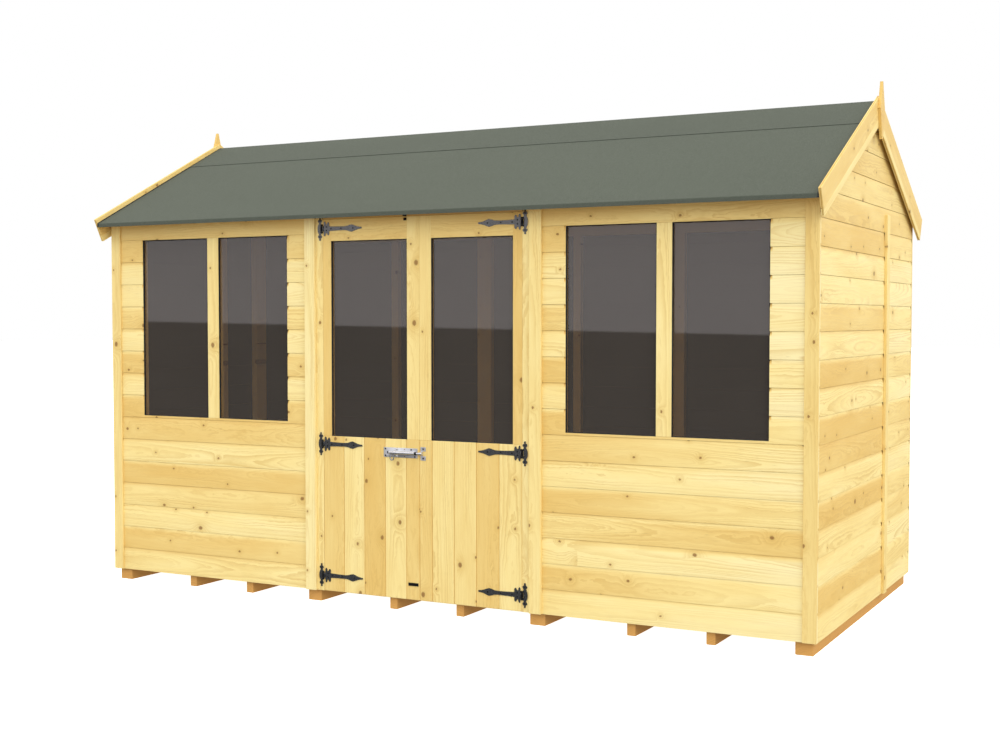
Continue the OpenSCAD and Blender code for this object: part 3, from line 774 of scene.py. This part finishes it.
class SUMMERHOUSE_OT_front_walls(Piecework, bpy.types.Operator):
    """Board the two window bays of the front"""

    bl_idname = "summerhouse.front_walls"
    bl_label = "Front walls"

    def build(self, context, sizes):
        for side, sign, seed in (("left", -1, 11), ("right", 1, 23)):
            node = f"front_cladding_{side}"
            lo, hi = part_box(node)
            _, near, *_, far, _ = from_middle(node)
            sill, head = places(node, 2)[2:4]
            parts = Parts()
            bench = Bench(parts, "x", "z", "-y", (0, lo.y, 0), seed)
            pitch = (hi.z - lo.z) / sizes.rows
            inner, outer = (near, far) if sign > 0 else (-far, -near)
            for row, z0, z1 in courses(lo.z, pitch, sizes.rows):
                under, over = row > 0, row < sizes.rows - 1
                if z1 <= sill or z0 >= head:
                    spans = [(z0, z1, lo.x, hi.x, under, over, 0)]
                else:
                    spans = [
                        (z0, z1, lo.x, inner, under, over, sizes.notch_l),
                        (z0, z1, outer, hi.x, under, over, -sizes.notch_l),
                    ]
                if z0 < sill < z1:
                    spans.append((z0, sill, inner, outer, under, False, 0))
                if z1 > head + pitch / 2 > z0:
                    if z0 >= head:
                        spans = [(z0, z1, lo.x, inner, under, over, 0), (z0, z1, outer, hi.x, under, over, 0)]
                    spans.append((head, z1, inner, outer, False, over, 0))
                lay_row(bench, sizes, row, hi.y - lo.y, spans, FRONT_TONES[sign])
            parts.boards(node + "_boards", context, node)


class SUMMERHOUSE_OT_back_wall(Piecework, bpy.types.Operator):
    """Board the three bays of the back"""

    bl_idname = "summerhouse.back_wall"
    bl_label = "Back wall"

    def build(self, context, sizes):
        node = "back_cladding"
        lo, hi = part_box(node)
        bay = [g.mean() for g in groups(places(node, 0), 0.01)]
        pitch = (hi.z - lo.z) / sizes.rows
        parts = Parts()
        bench = Bench(parts, "x", "z", "y", (0, hi.y, 0), 37)
        for row, z0, z1 in courses(lo.z, pitch, sizes.rows):
            for start, end in zip(bay[:-1], bay[1:]):
                spans = [(z0, z1, start, end, row > 0, row < sizes.rows - 1, 0)]
                lay_row(bench, sizes, row, hi.y - lo.y, spans, BACK_TONES)
        parts.boards("back_wall_boards", context, node)


class SUMMERHOUSE_OT_gables(Piecework, bpy.types.Operator):
    """Board the two gables up to the roof"""

    bl_idname = "summerhouse.gables"
    bl_label = "Gables"

    def build(self, context, sizes):
        ridge, slope = roof_lines()
        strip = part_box("gable_strips")
        joint = (strip[0].y + strip[1].y) / 2
        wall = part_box("front_cladding_left")
        pitch = (wall[1].z - wall[0].z) / sizes.rows
        for side, sign, seed in (("left", -1, 41), ("right", 1, 53)):
            node = f"gable_cladding_{side}"
            lo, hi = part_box(node)
            thickness = hi.x - lo.x

            def reach(z):
                return np.minimum(hi.y, (ridge - z) / slope - 0.0005)

            def front(z):
                return -reach(z)

            parts = Parts()
            face = hi.x if sign > 0 else lo.x
            bench = Bench(parts, "y", "z", "x" if sign > 0 else "-x", (face, 0, 0), seed)
            kink = ridge - hi.y * slope
            top = ridge - 0.02 * slope
            for row, z0, z1 in courses(lo.z, pitch, math.ceil((top - lo.z) / pitch)):
                over = z1 + sizes.lap < top
                end = z1 if over else min(z1, top)
                if end > strip[1].z:
                    runs = [(front, reach, 0, NEAR)]
                else:
                    runs = [(front, joint, sizes.strip_l, NEAR), (joint, reach, -sizes.strip_l, MIXED)]
                for start, stop, notch, tones in runs:
                    spans = [(z0, end, start, stop, row > 0, over, notch)]
                    lay_row(bench, sizes, row, thickness, spans, tones, kink)
            parts.boards(node + "_boards", context, node)


TRIM_TONES = {
    "corner_trims": (0.3, 0.45), "front_strips": (-0.2, 0.15), "back_strips": (0.2, 0.4),
    "gable_strips": (0.25, 0.25), "window_mullions": (0.15, 0.05),
}


class SUMMERHOUSE_OT_trims(Piecework, bpy.types.Operator):
    """Fix the corner trims, the cover strips and the window posts"""

    bl_idname = "summerhouse.trims"
    bl_label = "Trims and strips"

    def build(self, context, sizes):
        for node, tones in TRIM_TONES.items():
            parts = Parts()
            xyz = corners(node)
            out, across, seed = (0, 1, 61) if node == "gable_strips" else (1, 0, 71)
            for side in (-1, 1):  # front, then back, or left, then right
                own = xyz[xyz[:, out] * side > 0]
                if not len(own):
                    continue
                inner, outer = abs(own[:, out]).min(), abs(own[:, out]).max()
                way = np.eye(3)[out] * side
                bench = Bench(parts, "z", np.eye(3)[across], way, way * inner, seed + side)
                for strip in groups(np.unique(own[:, across].round(4)), 0.1):
                    near = own[(own[:, across] > strip[0] - 1e-3) & (own[:, across] < strip[-1] + 1e-3)]
                    bench.plank(
                        (near[:, 2].min(), near[:, 2].max()), (strip[0], strip[-1]), (0, outer - inner),
                        sizes.ease, tones[int(strip[0] > 0)],
                    )
            parts.boards(node + "_planed", context, node)


# ---- Doors ----

# How golden the lower boards of each leaf are, from the hinges to the meeting line
LEAF_TONES = {"left": (0.6, 0.15, 0.85, 0.15, 0.7), "right": (0.15, 0.7, 0.3, 0.2, 0.6)}
LEAF_BOARD = 0.112  # cover width of a board of the leaves
STILE_TONES = (0.3, 0.8)  # the stile at the meeting line and the one at the hinges
RAIL_TONE = 0.6
V_SHADE_TONE = 0.9  # painted shade: added to the tone in the V between two boards, darkening it
POST_TONES = (0.1, 0.4)  # front layer and back layer of each door post


class SUMMERHOUSE_OT_doors(Piecework, bpy.types.Operator):
    """Board the two leaves and finish the posts and the head round them"""

    bl_idname = "summerhouse.doors"
    bl_label = "Doors"

    def build(self, context, sizes):
        for side, sign, seed in (("left", -1, 83), ("right", 1, 97)):
            node = f"door_{side}_boards"
            lo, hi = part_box(node)
            meet, pane_in, *_, pane_out, hinge = from_middle(node)
            foot, _, sill, *_, head, _ = places(node, 2)
            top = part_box("door_head")[0].z - sizes.reach
            depth = (0, hi.y - lo.y)
            parts = Parts()
            bench = Bench(parts, "z", "x", "-y", (0, hi.y, 0), seed)
            joint = sizes.joint
            if side == "left":  # its meeting edge runs across to the other leaf's
                meet = sizes.reach - meet
            edges = [hinge - i * LEAF_BOARD for i in range(len(LEAF_TONES[side]))] + [meet]
            for tone, outer, inner in zip(LEAF_TONES[side], edges[:-1], edges[1:]):
                inner += joint if inner != meet else 0
                outer -= joint if outer != hinge else 0
                board = mirrored(sign, inner, outer)
                bench.plank((foot, sill - joint), board, depth, sizes.vee, tone, V_SHADE_TONE)
            stiles = (meet, pane_in - joint), (pane_out + joint, hinge)
            for tone, stile in zip(STILE_TONES, stiles):
                bench.plank((sill, top), mirrored(sign, *stile), depth, sizes.ease / 2, tone)
            rail = Bench(parts, "x", "z", "-y", (0, hi.y, 0), seed + 1)
            rail.plank(mirrored(sign, pane_in, pane_out), (head, top), depth, sizes.ease / 2, RAIL_TONE)
            parts.boards(node + "_planed", context, node, f"door_{side}")
            paint(f"door_{side}_frame", pine(context, "Z"))

        x, y, z = from_middle("door_posts"), places("door_posts", 1), places("door_posts", 2)
        leaf = from_middle("door_right_boards")[-1]
        parts = Parts()
        bench = Bench(parts, "z", "x", "-y", (0, 0, 0), 101)
        for side in (-1, 1):
            face, behind = mirrored(side, leaf + sizes.reach, x[-1]), mirrored(side, x[0], x[-1])
            bench.plank((z[0], z[-1]), face, (-y[1], -y[0]), sizes.ease / 2, POST_TONES[0])
            bench.plank((z[1], z[-2]), behind, (-y[-1], -y[1]), sizes.ease, POST_TONES[1])
        parts.boards("door_posts_planed", context, "door_posts")
        paint("door_head", pine(context, "X"))


# ---- Windows ----


class SUMMERHOUSE_OT_glazing(Piecework, bpy.types.Operator):
    """Glaze the windows and the doors, with a black gasket round each pane"""

    bl_idname = "summerhouse.glazing"
    bl_label = "Glazing"

    def build(self, context, sizes):
        glass = glazing("clear glass", finishes(context).glass, finishes(context).haze)
        black = rubber("gasket rubber", tint("#101112"))
        y_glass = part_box("window_glass")[0].y
        room = y_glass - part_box("front_cladding_right")[0].y
        seat, lip, crown = 0.0003, room * 0.72, room * 0.8
        wide = sizes.gasket
        section = [(0, seat), (wide, seat), (wide, lip), (wide * 0.6, crown), (0, crown)]

        def gaskets(name, body, panes, z0, z1):
            rings = [ring_of(section, (x0, z0, x1, z1), y_glass) for x0, x1 in panes]
            fitting(name, body, black, "glass", rings)

        _, near, *_, far, _ = from_middle("front_cladding_right")
        post = from_middle("window_mullions")
        openings = (near, post[0]), (post[-1], far)
        panes = [mirrored(side, *opening) for opening in openings for side in (-1, 1)]
        gaskets("window_gaskets", "building", panes, *places("front_cladding_right", 2)[2:4])
        paint("window_glass", glass)
        for side, sign in (("left", -1), ("right", 1)):
            _, near, *_, far, _ = from_middle(f"door_{side}_boards")
            z = places(f"door_{side}_boards", 2)
            gaskets(f"door_{side}_gasket", f"door_{side}", [mirrored(sign, near, far)], z[2], z[-2])
            paint(f"door_{side}_glass", glass)


# ---- Roof ----


class SUMMERHOUSE_OT_roof(Piecework, bpy.types.Operator):
    """Lay the felt over both slopes and the ridge"""

    bl_idname = "summerhouse.roof"
    bl_label = "Roof felt"

    def build(self, context, sizes):
        _, slope = roof_lines()
        grit = felt("mineral felt", finishes(context))
        shadow_beads = []
        angle = math.atan(slope)
        for side, sign in (("front", -1), ("back", 1)):
            node = f"felt_{side}"
            lo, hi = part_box(node)
            eave, deck = (max(abs(v.y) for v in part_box(name)) for name in (node, f"roof_deck_{side}"))
            thickness = eave - deck
            top = places(node, 2)[-1]
            bend = thickness + 0.003
            turn = np.linspace(0, math.pi / 2 - angle, 7)
            # the outer face: down the slope, round the edge of the boards and straight down
            centre_y = eave - bend
            centre_z = top - slope * (eave - bend * (1 - math.sin(angle))) - bend * math.cos(angle)
            way = np.stack([np.sin(angle + turn), np.cos(angle + turn)], -1)
            arc = (centre_y, centre_z) + bend * way
            path = np.array([(0, top), *arc, (eave, lo.z)])[::-1]
            # painted shade: tone 1 on the turned-down face, fading to 0 round the bend, darkens the felt
            # where it turns down out of the light
            tone = np.concatenate([[1], np.linspace(1, 0, len(arc)), [0]])
            self.sheet(node, grit, (lo.x, hi.x), (sign,), path, thickness, tone)
            for end in (-1, 1):  # painted shade: a dark bead against each bargeboard, a black strip laid where the felt meets its shadow line
                wall = lo.x if end < 0 else hi.x
                width = sorted((wall, wall - end * sizes.bead))
                shadow_beads.append(run_along_x(ribbon(path, -sizes.bead / 2) * (sign, 1), *width))
        # painted shade: the black beads stand for the shadow along each bargeboard
        fitting("verge_shadow_beads", "building", rubber("bitumen bead", tint("#15181d")), "felt", shadow_beads)
        lo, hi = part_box("felt_ridge")
        thickness = (hi.z - top) * math.cos(angle)
        y = np.array([hi.y, hi.y - 0.004, 0.01, 0])
        path = np.stack([y, hi.z - slope * y], -1)
        # painted shade: a high tone along the lapped edges of the ridge sheet darkens the felt there
        self.sheet("felt_ridge", grit, (lo.x, hi.x), (-1, 1), path, thickness, np.array([4.5, 0.4, 0, 0]))
        for node in ("roof_deck_front", "roof_deck_back", "roof_rails"):
            paint(node, pine(context, "X"))

    def sheet(self, node, material, ends, sides, path, thickness, tone):
        """Felt that follows a path in Y and Z from end to end of the roof, on one side of the ridge
        or on both, with a tone at each point of the path."""
        parts = Parts()
        for side in sides:
            points, faces = run_along_x(ribbon(path, thickness) * (side, 1), *ends, 12)
            parts.add(points, faces, tone=np.tile(np.concatenate([tone, tone[::-1]]), len(points)))
        parts.piece(node + "_sheet", "building", material, "felt", [node])


LIP_TONE, BARGE_TONE, GLUE_TONE, FINIAL_TONE = 0.1, 0.6, 2.0, 0.9


class SUMMERHOUSE_OT_bargeboards(Piecework, bpy.types.Operator):
    """Fix the bargeboards and the finials"""

    bl_idname = "summerhouse.bargeboards"
    bl_label = "Bargeboards and finials"

    def build(self, context, sizes):
        _, slope = roof_lines()
        angle = math.atan(slope)
        cos, sin = math.cos(angle), math.sin(angle)
        for side, sign, seed in (("left", -1, 113), ("right", 1, 127)):
            node = f"bargeboards_{side}"
            lo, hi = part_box(node)
            foot_z = hi.z - hi.y * slope
            width = (foot_z - lo.z) / cos
            run = hi.y / cos
            depth = hi.x - lo.x
            parts = Parts()
            for slope_side in (-1, 1):
                # the tangent of the pitch keeps the upper cut plumb
                down, up = (0, slope_side * cos, -sin), (0, slope_side * sin, cos)
                bench = Bench(parts, down, up, *outwards(lo.x, hi.x, sign, hi.z), seed + slope_side)
                middle = (0.36 * depth, 0.64 * depth)  # between the two layers of each board
                lip = sizes.lip - width
                for low, high, tone in ((-width, lip, LIP_TONE), (lip, 0, BARGE_TONE)):
                    for layer in ((0, middle[0]), (middle[1], depth)):
                        bench.plank((0.0005, run), (low, high), layer, sizes.ease * 0.6, tone, slope=slope)
                inset = 0.002
                across = (inset - width, 0.0002 - inset)
                bench.plank((inset, run - inset), across, middle, 0.0002, GLUE_TONE, slope=slope)
            parts.boards(node + "_planed", context, node)

        levels = places("finials", 2)
        xyz = corners("finials")
        parts = Parts()
        half = np.array([abs(xyz[abs(xyz[:, 2] - level) < 1e-3, 1]).max() for level in levels])
        for sign in (-1, 1):
            own = abs(xyz[xyz[:, 0] * sign > 0, 0])
            inner, outer = own.min(), own.max()
            bench = Bench(parts, "y", "z", "x" if sign > 0 else "-x", (sign * inner, 0, 0), 131 + sign)
            ease = np.minimum(sizes.ease, half * 0.4)
            bench.lay(levels, 0, outer - inner, -half, half, ease, FINIAL_TONE)
        parts.boards("finials_cut", context, "finials")


# ---- Ironmongery ----


def softened(node, name, body, material, edge, proud=None, raised_highlight=None):
    """A piece with a CAD node's own shape, its doubled points merged and its edges rounded. What
    stands in front of the place proud along Y gets the second material: a lighter, glossier zinc that is a
    painted highlight on the raised parts."""
    mesh = frame["nodes"][node].data.copy()
    mesh.name = name
    mesh.materials.clear()
    shell = bmesh.new()
    shell.from_mesh(mesh)
    bmesh.ops.remove_doubles(shell, verts=shell.verts, dist=1e-5)
    bmesh.ops.dissolve_limit(shell, angle_limit=math.radians(1), verts=shell.verts, edges=shell.edges)
    shell.to_mesh(mesh)
    shell.free()
    piece = dress(name, mesh, body, material, [node], 35)
    if raised_highlight:
        mesh.materials.append(raised_highlight)
        centres = np.empty(len(mesh.polygons) * 3)
        mesh.polygons.foreach_get("center", centres)
        mesh.polygons.foreach_set("material_index", (centres[1::3] < proud).astype(int))
    bevel = piece.modifiers.new("eased edges", "BEVEL")
    bevel.width, bevel.segments, bevel.limit_method, bevel.angle_limit = edge, 2, "ANGLE", math.radians(35)
    bevel.harden_normals = False
    return piece


IRON_THICKNESS = 0.0025  # of a hinge's strap and its plate
# Sleeves over the middle knuckle and the outer ones: height from the middle of the hinge, radius
HALF_KNUCKLE = [
    (0.0025, 0.0054), (0.0028, 0.0051), (0.0042, 0.0051),
    (0.0045, 0.0054), (0.0104, 0.0054), (0.0107, 0.0044),
]
KNUCKLE = [(-height, radius) for height, radius in reversed(HALF_KNUCKLE)] + HALF_KNUCKLE
PLATE_KNUCKLE = [(0.0118, 0.0044), (0.0121, 0.0054), (0.0195, 0.0054), (0.0198, 0.0044)]
# Screws of a strap and of its plate: distance from the pin, height from the middle of the hinge
STRAP_SCREWS = [(0.0245, 0.0085), (0.0245, -0.0085), (0.05, 0.0), (0.105, 0.0), (0.17, 0.0)]
PLATE_SCREWS = [(0.012, -0.036), (0.012, 0.036)]


class SUMMERHOUSE_OT_hinges(Piecework, bpy.types.Operator):
    """Finish the six strap hinges and their screws"""

    bl_idname = "summerhouse.hinges"
    bl_label = "Hinges"

    def build(self, context, sizes):
        black = iron(context)
        softened("hinge_plates", "hinge_plates_cast", "building", black, 0.0004)
        plate_screws, plate_rings = [], []
        dark = blackened()
        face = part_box("front_cladding_right")[0].y - IRON_THICKNESS
        for side, sign in (("left", -1), ("right", 1)):
            node = f"hinge_straps_{side}"
            softened(node, node + "_cast", f"door_{side}", black, 0.0004)
            xyz = corners(node)
            joint = next(j for j in frame["joints"] if j["child"] == f"door_{side}")
            pin, pin_y = joint["pos_m"][:2]
            screws, rings = [], []
            for heights in groups(xyz[:, 2], 0.2):
                z = (heights[0] + heights[-1]) / 2
                for heads, spots, way in ((screws, STRAP_SCREWS, -sign), (plate_screws, PLATE_SCREWS, sign)):
                    spots = [(pin + way * dx, face, z + dz) for dx, dz in spots]
                    heads.extend(screw_heads(spots, sizes.screw * 0.8))
                rings.append(turned((pin, pin_y, z), "z", KNUCKLE, 16))
                plate_rings += [turned((pin, pin_y, z), way, PLATE_KNUCKLE, 16) for way in ("z", "-z")]
            fitting(f"hinge_screws_{side}", f"door_{side}", dark, "black_iron", screws)
            fitting(f"hinge_knuckles_{side}", f"door_{side}", dark, "black_iron", rings)
        fitting("hinge_plate_screws", "building", dark, "black_iron", plate_screws)
        fitting("hinge_plate_knuckles", "building", dark, "black_iron", plate_rings)


ZINC_THICKNESS = 0.002  # of the plates of the bolt and its keep
HIGHLIGHT_FROM = 0.0036  # painted highlight: what stands further than this before the leaf gets the lighter zinc, as if catching the light
# Screws of the bolt's plate: which end, distance along from that end, height from the bar
BOLT_SCREWS = [(0, 0.009, 0.0155), (0, 0.009, -0.0155), (1, -0.033, 0.015), (1, -0.014, -0.016)]
# Rivets and guide's rivets: distance along from the end by the keep, height from the bar
RIVETS = [(-0.068, -0.0157), (-0.068, 0.0157)]
DOMES = [(-0.106, -0.0165), (-0.106, 0.0165)]
# Rivet of the guide: height from the plate, radius
DOME = [(-0.001, 0.0061), (0.001, 0.0061), (0.003, 0.0051), (0.0042, 0.0031), (0.0046, 0.0002)]


class SUMMERHOUSE_OT_bolt(Piecework, bpy.types.Operator):
    """Finish the tower bolt, its keep and the small black fittings"""

    bl_idname = "summerhouse.bolt"
    bl_label = "Bolt and small fittings"

    def build(self, context, sizes):
        bright = bright_zinc(context)
        dull = frame["nodes"]["bolt_plate"].data.materials[0]  # the frame's own plain zinc
        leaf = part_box("door_left_boards")[0].y
        front, face = leaf - HIGHLIGHT_FROM, leaf - ZINC_THICKNESS
        # painted highlight: the raised barrel, saddle and loop of the plate and the keep get the lighter
        # zinc, and the flat plate gets the frame's duller zinc
        softened("bolt_plate", "bolt_plate_plated", "door_left", dull, 0.0005, front, bright)
        softened("bolt_bar", "bolt_bar_bright", "bolt", bright, 0.0008)
        softened("bolt_keep", "bolt_keep_plated", "door_right", dull, 0.0005, front, bright)
        dark = blackened()
        lo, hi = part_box("bolt_plate")
        z = (lo.z + hi.z) / 2
        copper = metal("copper rivets", tint("#a87a4c"), 0.35, 1.0, 200, 0.2)
        spots = [((lo, hi)[end].x + dx, face, z + dz) for end, dx, dz in BOLT_SCREWS]
        fitting("bolt_screws", "door_left", dark, "zinc", screw_heads(spots, sizes.screw))
        spots = [(hi.x + dx, face, z + dz) for dx, dz in RIVETS]
        fitting("bolt_rivets", "door_left", copper, "zinc", screw_heads(spots, sizes.screw * 0.6))
        # painted highlight: the guide's rivet domes are in the lighter zinc
        domes = [turned((hi.x + dx, face - 0.0015, z + dz), "-y", DOME, 18) for dx, dz in DOMES]
        fitting("bolt_domes", "door_left", bright, "zinc", domes)
        # black tips: a cap on the back end of the bar, and a bush in the mouth of its guide that is painted
        # shade, a black ring where the bar lies in shadow by the plate's end
        bar = corners("bolt_bar")
        rod = bar[bar[:, 2] > z - 0.004]
        middle = (rod[:, 1].min() + rod[:, 1].max()) / 2
        thick = (rod[:, 1].max() - rod[:, 1].min()) / 2
        wide = thick + 0.0005
        sleeve = [(0.0, thick * 0.8), (0.0004, wide), (0.0058, wide), (0.0062, thick * 0.9)]
        cap = turned((rod[:, 0].min() - 0.0004, middle, z), "x", sleeve, 20)
        fitting("bar_cap", "bolt", dark, "zinc", [cap])
        tight, wide = thick + 0.0002, thick + 0.0012
        mouth = [(0.0, tight), (0.0004, wide), (0.0094, wide), (0.0098, tight)]
        shadow_bush = turned((hi.x - 0.0108, middle, z), "x", mouth, 20)
        fitting("guide_shadow_bush", "door_left", dark, "zinc", [shadow_bush])
        lo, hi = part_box("bolt_keep")
        x, z = (lo.x + hi.x) / 2, (lo.z + hi.z) / 2
        spots = [(x, face, z + dz) for dz in (-0.021, 0.021)]
        fitting("keep_screws", "door_right", dark, "zinc", screw_heads(spots, sizes.screw))
        softened("head_catch", "head_catch_cast", "door_left", dark, 0.0006)
        softened("head_keep", "head_keep_cast", "building", dark, 0.0006)
        softened("kick_plate", "kick_plate_cast", "door_left", dark, 0.0009)


# ---- Framing, floor and bearers ----

# The axis along which the grain of each part of the framing runs
GRAIN = {
    "front_studs": "Z", "back_studs": "Z", "gable_studs": "Z", "front_rails": "X",
    "back_rails": "X", "gable_rails": "Y", "floor": "X",
}
BEARER_TONE = 0.4


class SUMMERHOUSE_OT_framing(Piecework, bpy.types.Operator):
    """Give the framing, the floor and the bearers their timber"""

    bl_idname = "summerhouse.framing"
    bl_label = "Framing and floor"

    def build(self, context, sizes):
        for node, along in GRAIN.items():
            paint(node, pine(context, along))
        c = finishes(context)
        treated = wood("treated timber", c.bearer, c.bearer, c.bearer, tint("#a87838"), c.knot)
        xyz = corners("bearers")
        lo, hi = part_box("bearers")
        parts = Parts()
        bench = Bench(parts, "y", "x", "z", (0, 0, 0), 151)
        for x in groups(xyz[:, 0], 0.09):
            bench.plank((lo.y, hi.y), (x[0], x[-1]), (lo.z, hi.z), sizes.ease, BEARER_TONE)
        parts.piece("bearers_sawn", "building", treated, "bearer", ["bearers"])


# ---- Stage ----


FLOOR_REACH = 60.0  # half the width of the studio floor
HORIZON = (0.0162, -0.0162, 1.0)  # square to the horizon that the panes mirror, which leans a little
DARK_GROUND, BRIGHT_SKY = (0.09, 0.085, 0.08), (1.15, 1.11, 1.15)  # below it and above it


class SUMMERHOUSE_OT_stage(Piecework, bpy.types.Operator):
    """Set up the floor, the light and the camera"""

    bl_idname = "summerhouse.stage"
    bl_label = "Stage"

    def build(self, context, sizes):
        scene, stage = context.scene, context.scene.summer_house_stage
        scene.view_settings.view_transform = "Standard"
        mesh = bpy.data.meshes.new("studio_floor")
        spots = [(x * FLOOR_REACH, y * FLOOR_REACH, 0) for x, y in ((-1, -1), (1, -1), (1, 1), (-1, 1))]
        mesh.from_pydata(spots, [], [(0, 1, 2, 3)])
        floor = bpy.data.objects.new("studio_floor", mesh)
        scene.collection.objects.link(floor)
        material = bpy.data.materials.new("studio floor")
        Shades(material).surface(
            Base_Color=(0.9, 0.9, 0.9), Roughness=0.9, Specular_IOR_Level=0.0,
            Emission_Color=(1, 1, 1), Emission_Strength=1.0,
        )
        mesh.materials.append(material)
        floor.visible_glossy = floor.visible_diffuse = False

        # The surroundings: white to the eye, soft light mostly from above, and in mirrors a bright
        # sky over dark ground
        world = bpy.data.worlds.new("studio")
        scene.world = world
        sh = Shades(world)
        path = sh.node("ShaderNodeLightPath")
        way = sh.node("ShaderNodeTexCoord", output="Generated")
        up = sh.vector("DOT_PRODUCT", way, HORIZON, "Value")
        reflected = sh.blend(sh.smooth(up, -0.0012, 0.0012), DARK_GROUND, BRIGHT_SKY)
        below, above = ((b, b, b) for b in (stage.below, stage.above))
        lit = sh.blend(sh.smooth(up, -0.15, 0.15), below, above)
        glows = [{"Color": glow, "Strength": 1.0} for glow in (lit, reflected, (1, 1, 1))]
        even, mirror, seen = (sh.node("ShaderNodeBackground", {}, glow) for glow in glows)
        light = sh.node("ShaderNodeMixShader", {}, {0: path.other("Is Glossy Ray"), 1: even, 2: mirror})
        light = sh.node("ShaderNodeMixShader", {}, {0: path.other("Is Camera Ray"), 1: light, 2: seen})
        sh.node("ShaderNodeOutputWorld", {}, {"Surface": light})

        key = bpy.data.lights.new("key", "SUN")
        key.energy, key.angle = stage.key * math.pi, math.radians(40)
        key_at = bpy.data.objects.new("key", key)
        key_at.rotation_euler = (math.radians(60), 0, math.radians(65))
        scene.collection.objects.link(key_at)

        camera = bpy.data.cameras.new("camera")
        camera.lens, camera.sensor_width, camera.sensor_fit = 50, 36, "HORIZONTAL"
        camera.clip_end = 200
        eye = bpy.data.objects.new("camera", camera)
        eye.location = stage.camera_at
        eye.rotation_euler = (math.pi / 2 + stage.camera_tilt, 0, stage.camera_turn)
        scene.collection.objects.link(eye)
        scene.camera = eye


class SUMMERHOUSE_PT_finishes(bpy.types.Panel):
    """Settings and steps of the summer house, in the 3D view's sidebar"""

    bl_idname = "SUMMERHOUSE_PT_finishes"
    bl_label = "Summer house"
    bl_space_type = "VIEW_3D"
    bl_region_type = "UI"
    bl_category = "Summer house"

    def draw(self, context):
        for group in (getattr(context.scene, name) for name in SETTINGS):
            box = self.layout.box()
            for name in group.__annotations__:
                box.prop(group, name)
        for step in STEPS:
            self.layout.operator(step.bl_idname)


STEPS = (
    SUMMERHOUSE_OT_framing,
    SUMMERHOUSE_OT_front_walls,
    SUMMERHOUSE_OT_back_wall,
    SUMMERHOUSE_OT_gables,
    SUMMERHOUSE_OT_trims,
    SUMMERHOUSE_OT_doors,
    SUMMERHOUSE_OT_glazing,
    SUMMERHOUSE_OT_roof,
    SUMMERHOUSE_OT_bargeboards,
    SUMMERHOUSE_OT_hinges,
    SUMMERHOUSE_OT_bolt,
    SUMMERHOUSE_OT_stage,
)
SETTINGS = {
    "summer_house_boards": SummerHouseBoards,
    "summer_house_colours": SummerHouseColours,
    "summer_house_stage": SummerHouseStage,
}


def register():
    for cls in (*SETTINGS.values(), *STEPS, SUMMERHOUSE_PT_finishes):
        bpy.utils.register_class(cls)
    for name, cls in SETTINGS.items():
        setattr(bpy.types.Scene, name, bpy.props.PointerProperty(type=cls))


def unregister():
    for name in SETTINGS:
        delattr(bpy.types.Scene, name)
    for cls in (SUMMERHOUSE_PT_finishes, *reversed(STEPS), *reversed(tuple(SETTINGS.values()))):
        bpy.utils.unregister_class(cls)


def main():
    """Builds every piece in order."""
    register()
    for step in STEPS:
        group, name = step.bl_idname.split(".")
        getattr(getattr(bpy.ops, group), name)()


if __name__ == "__main__":
    main()
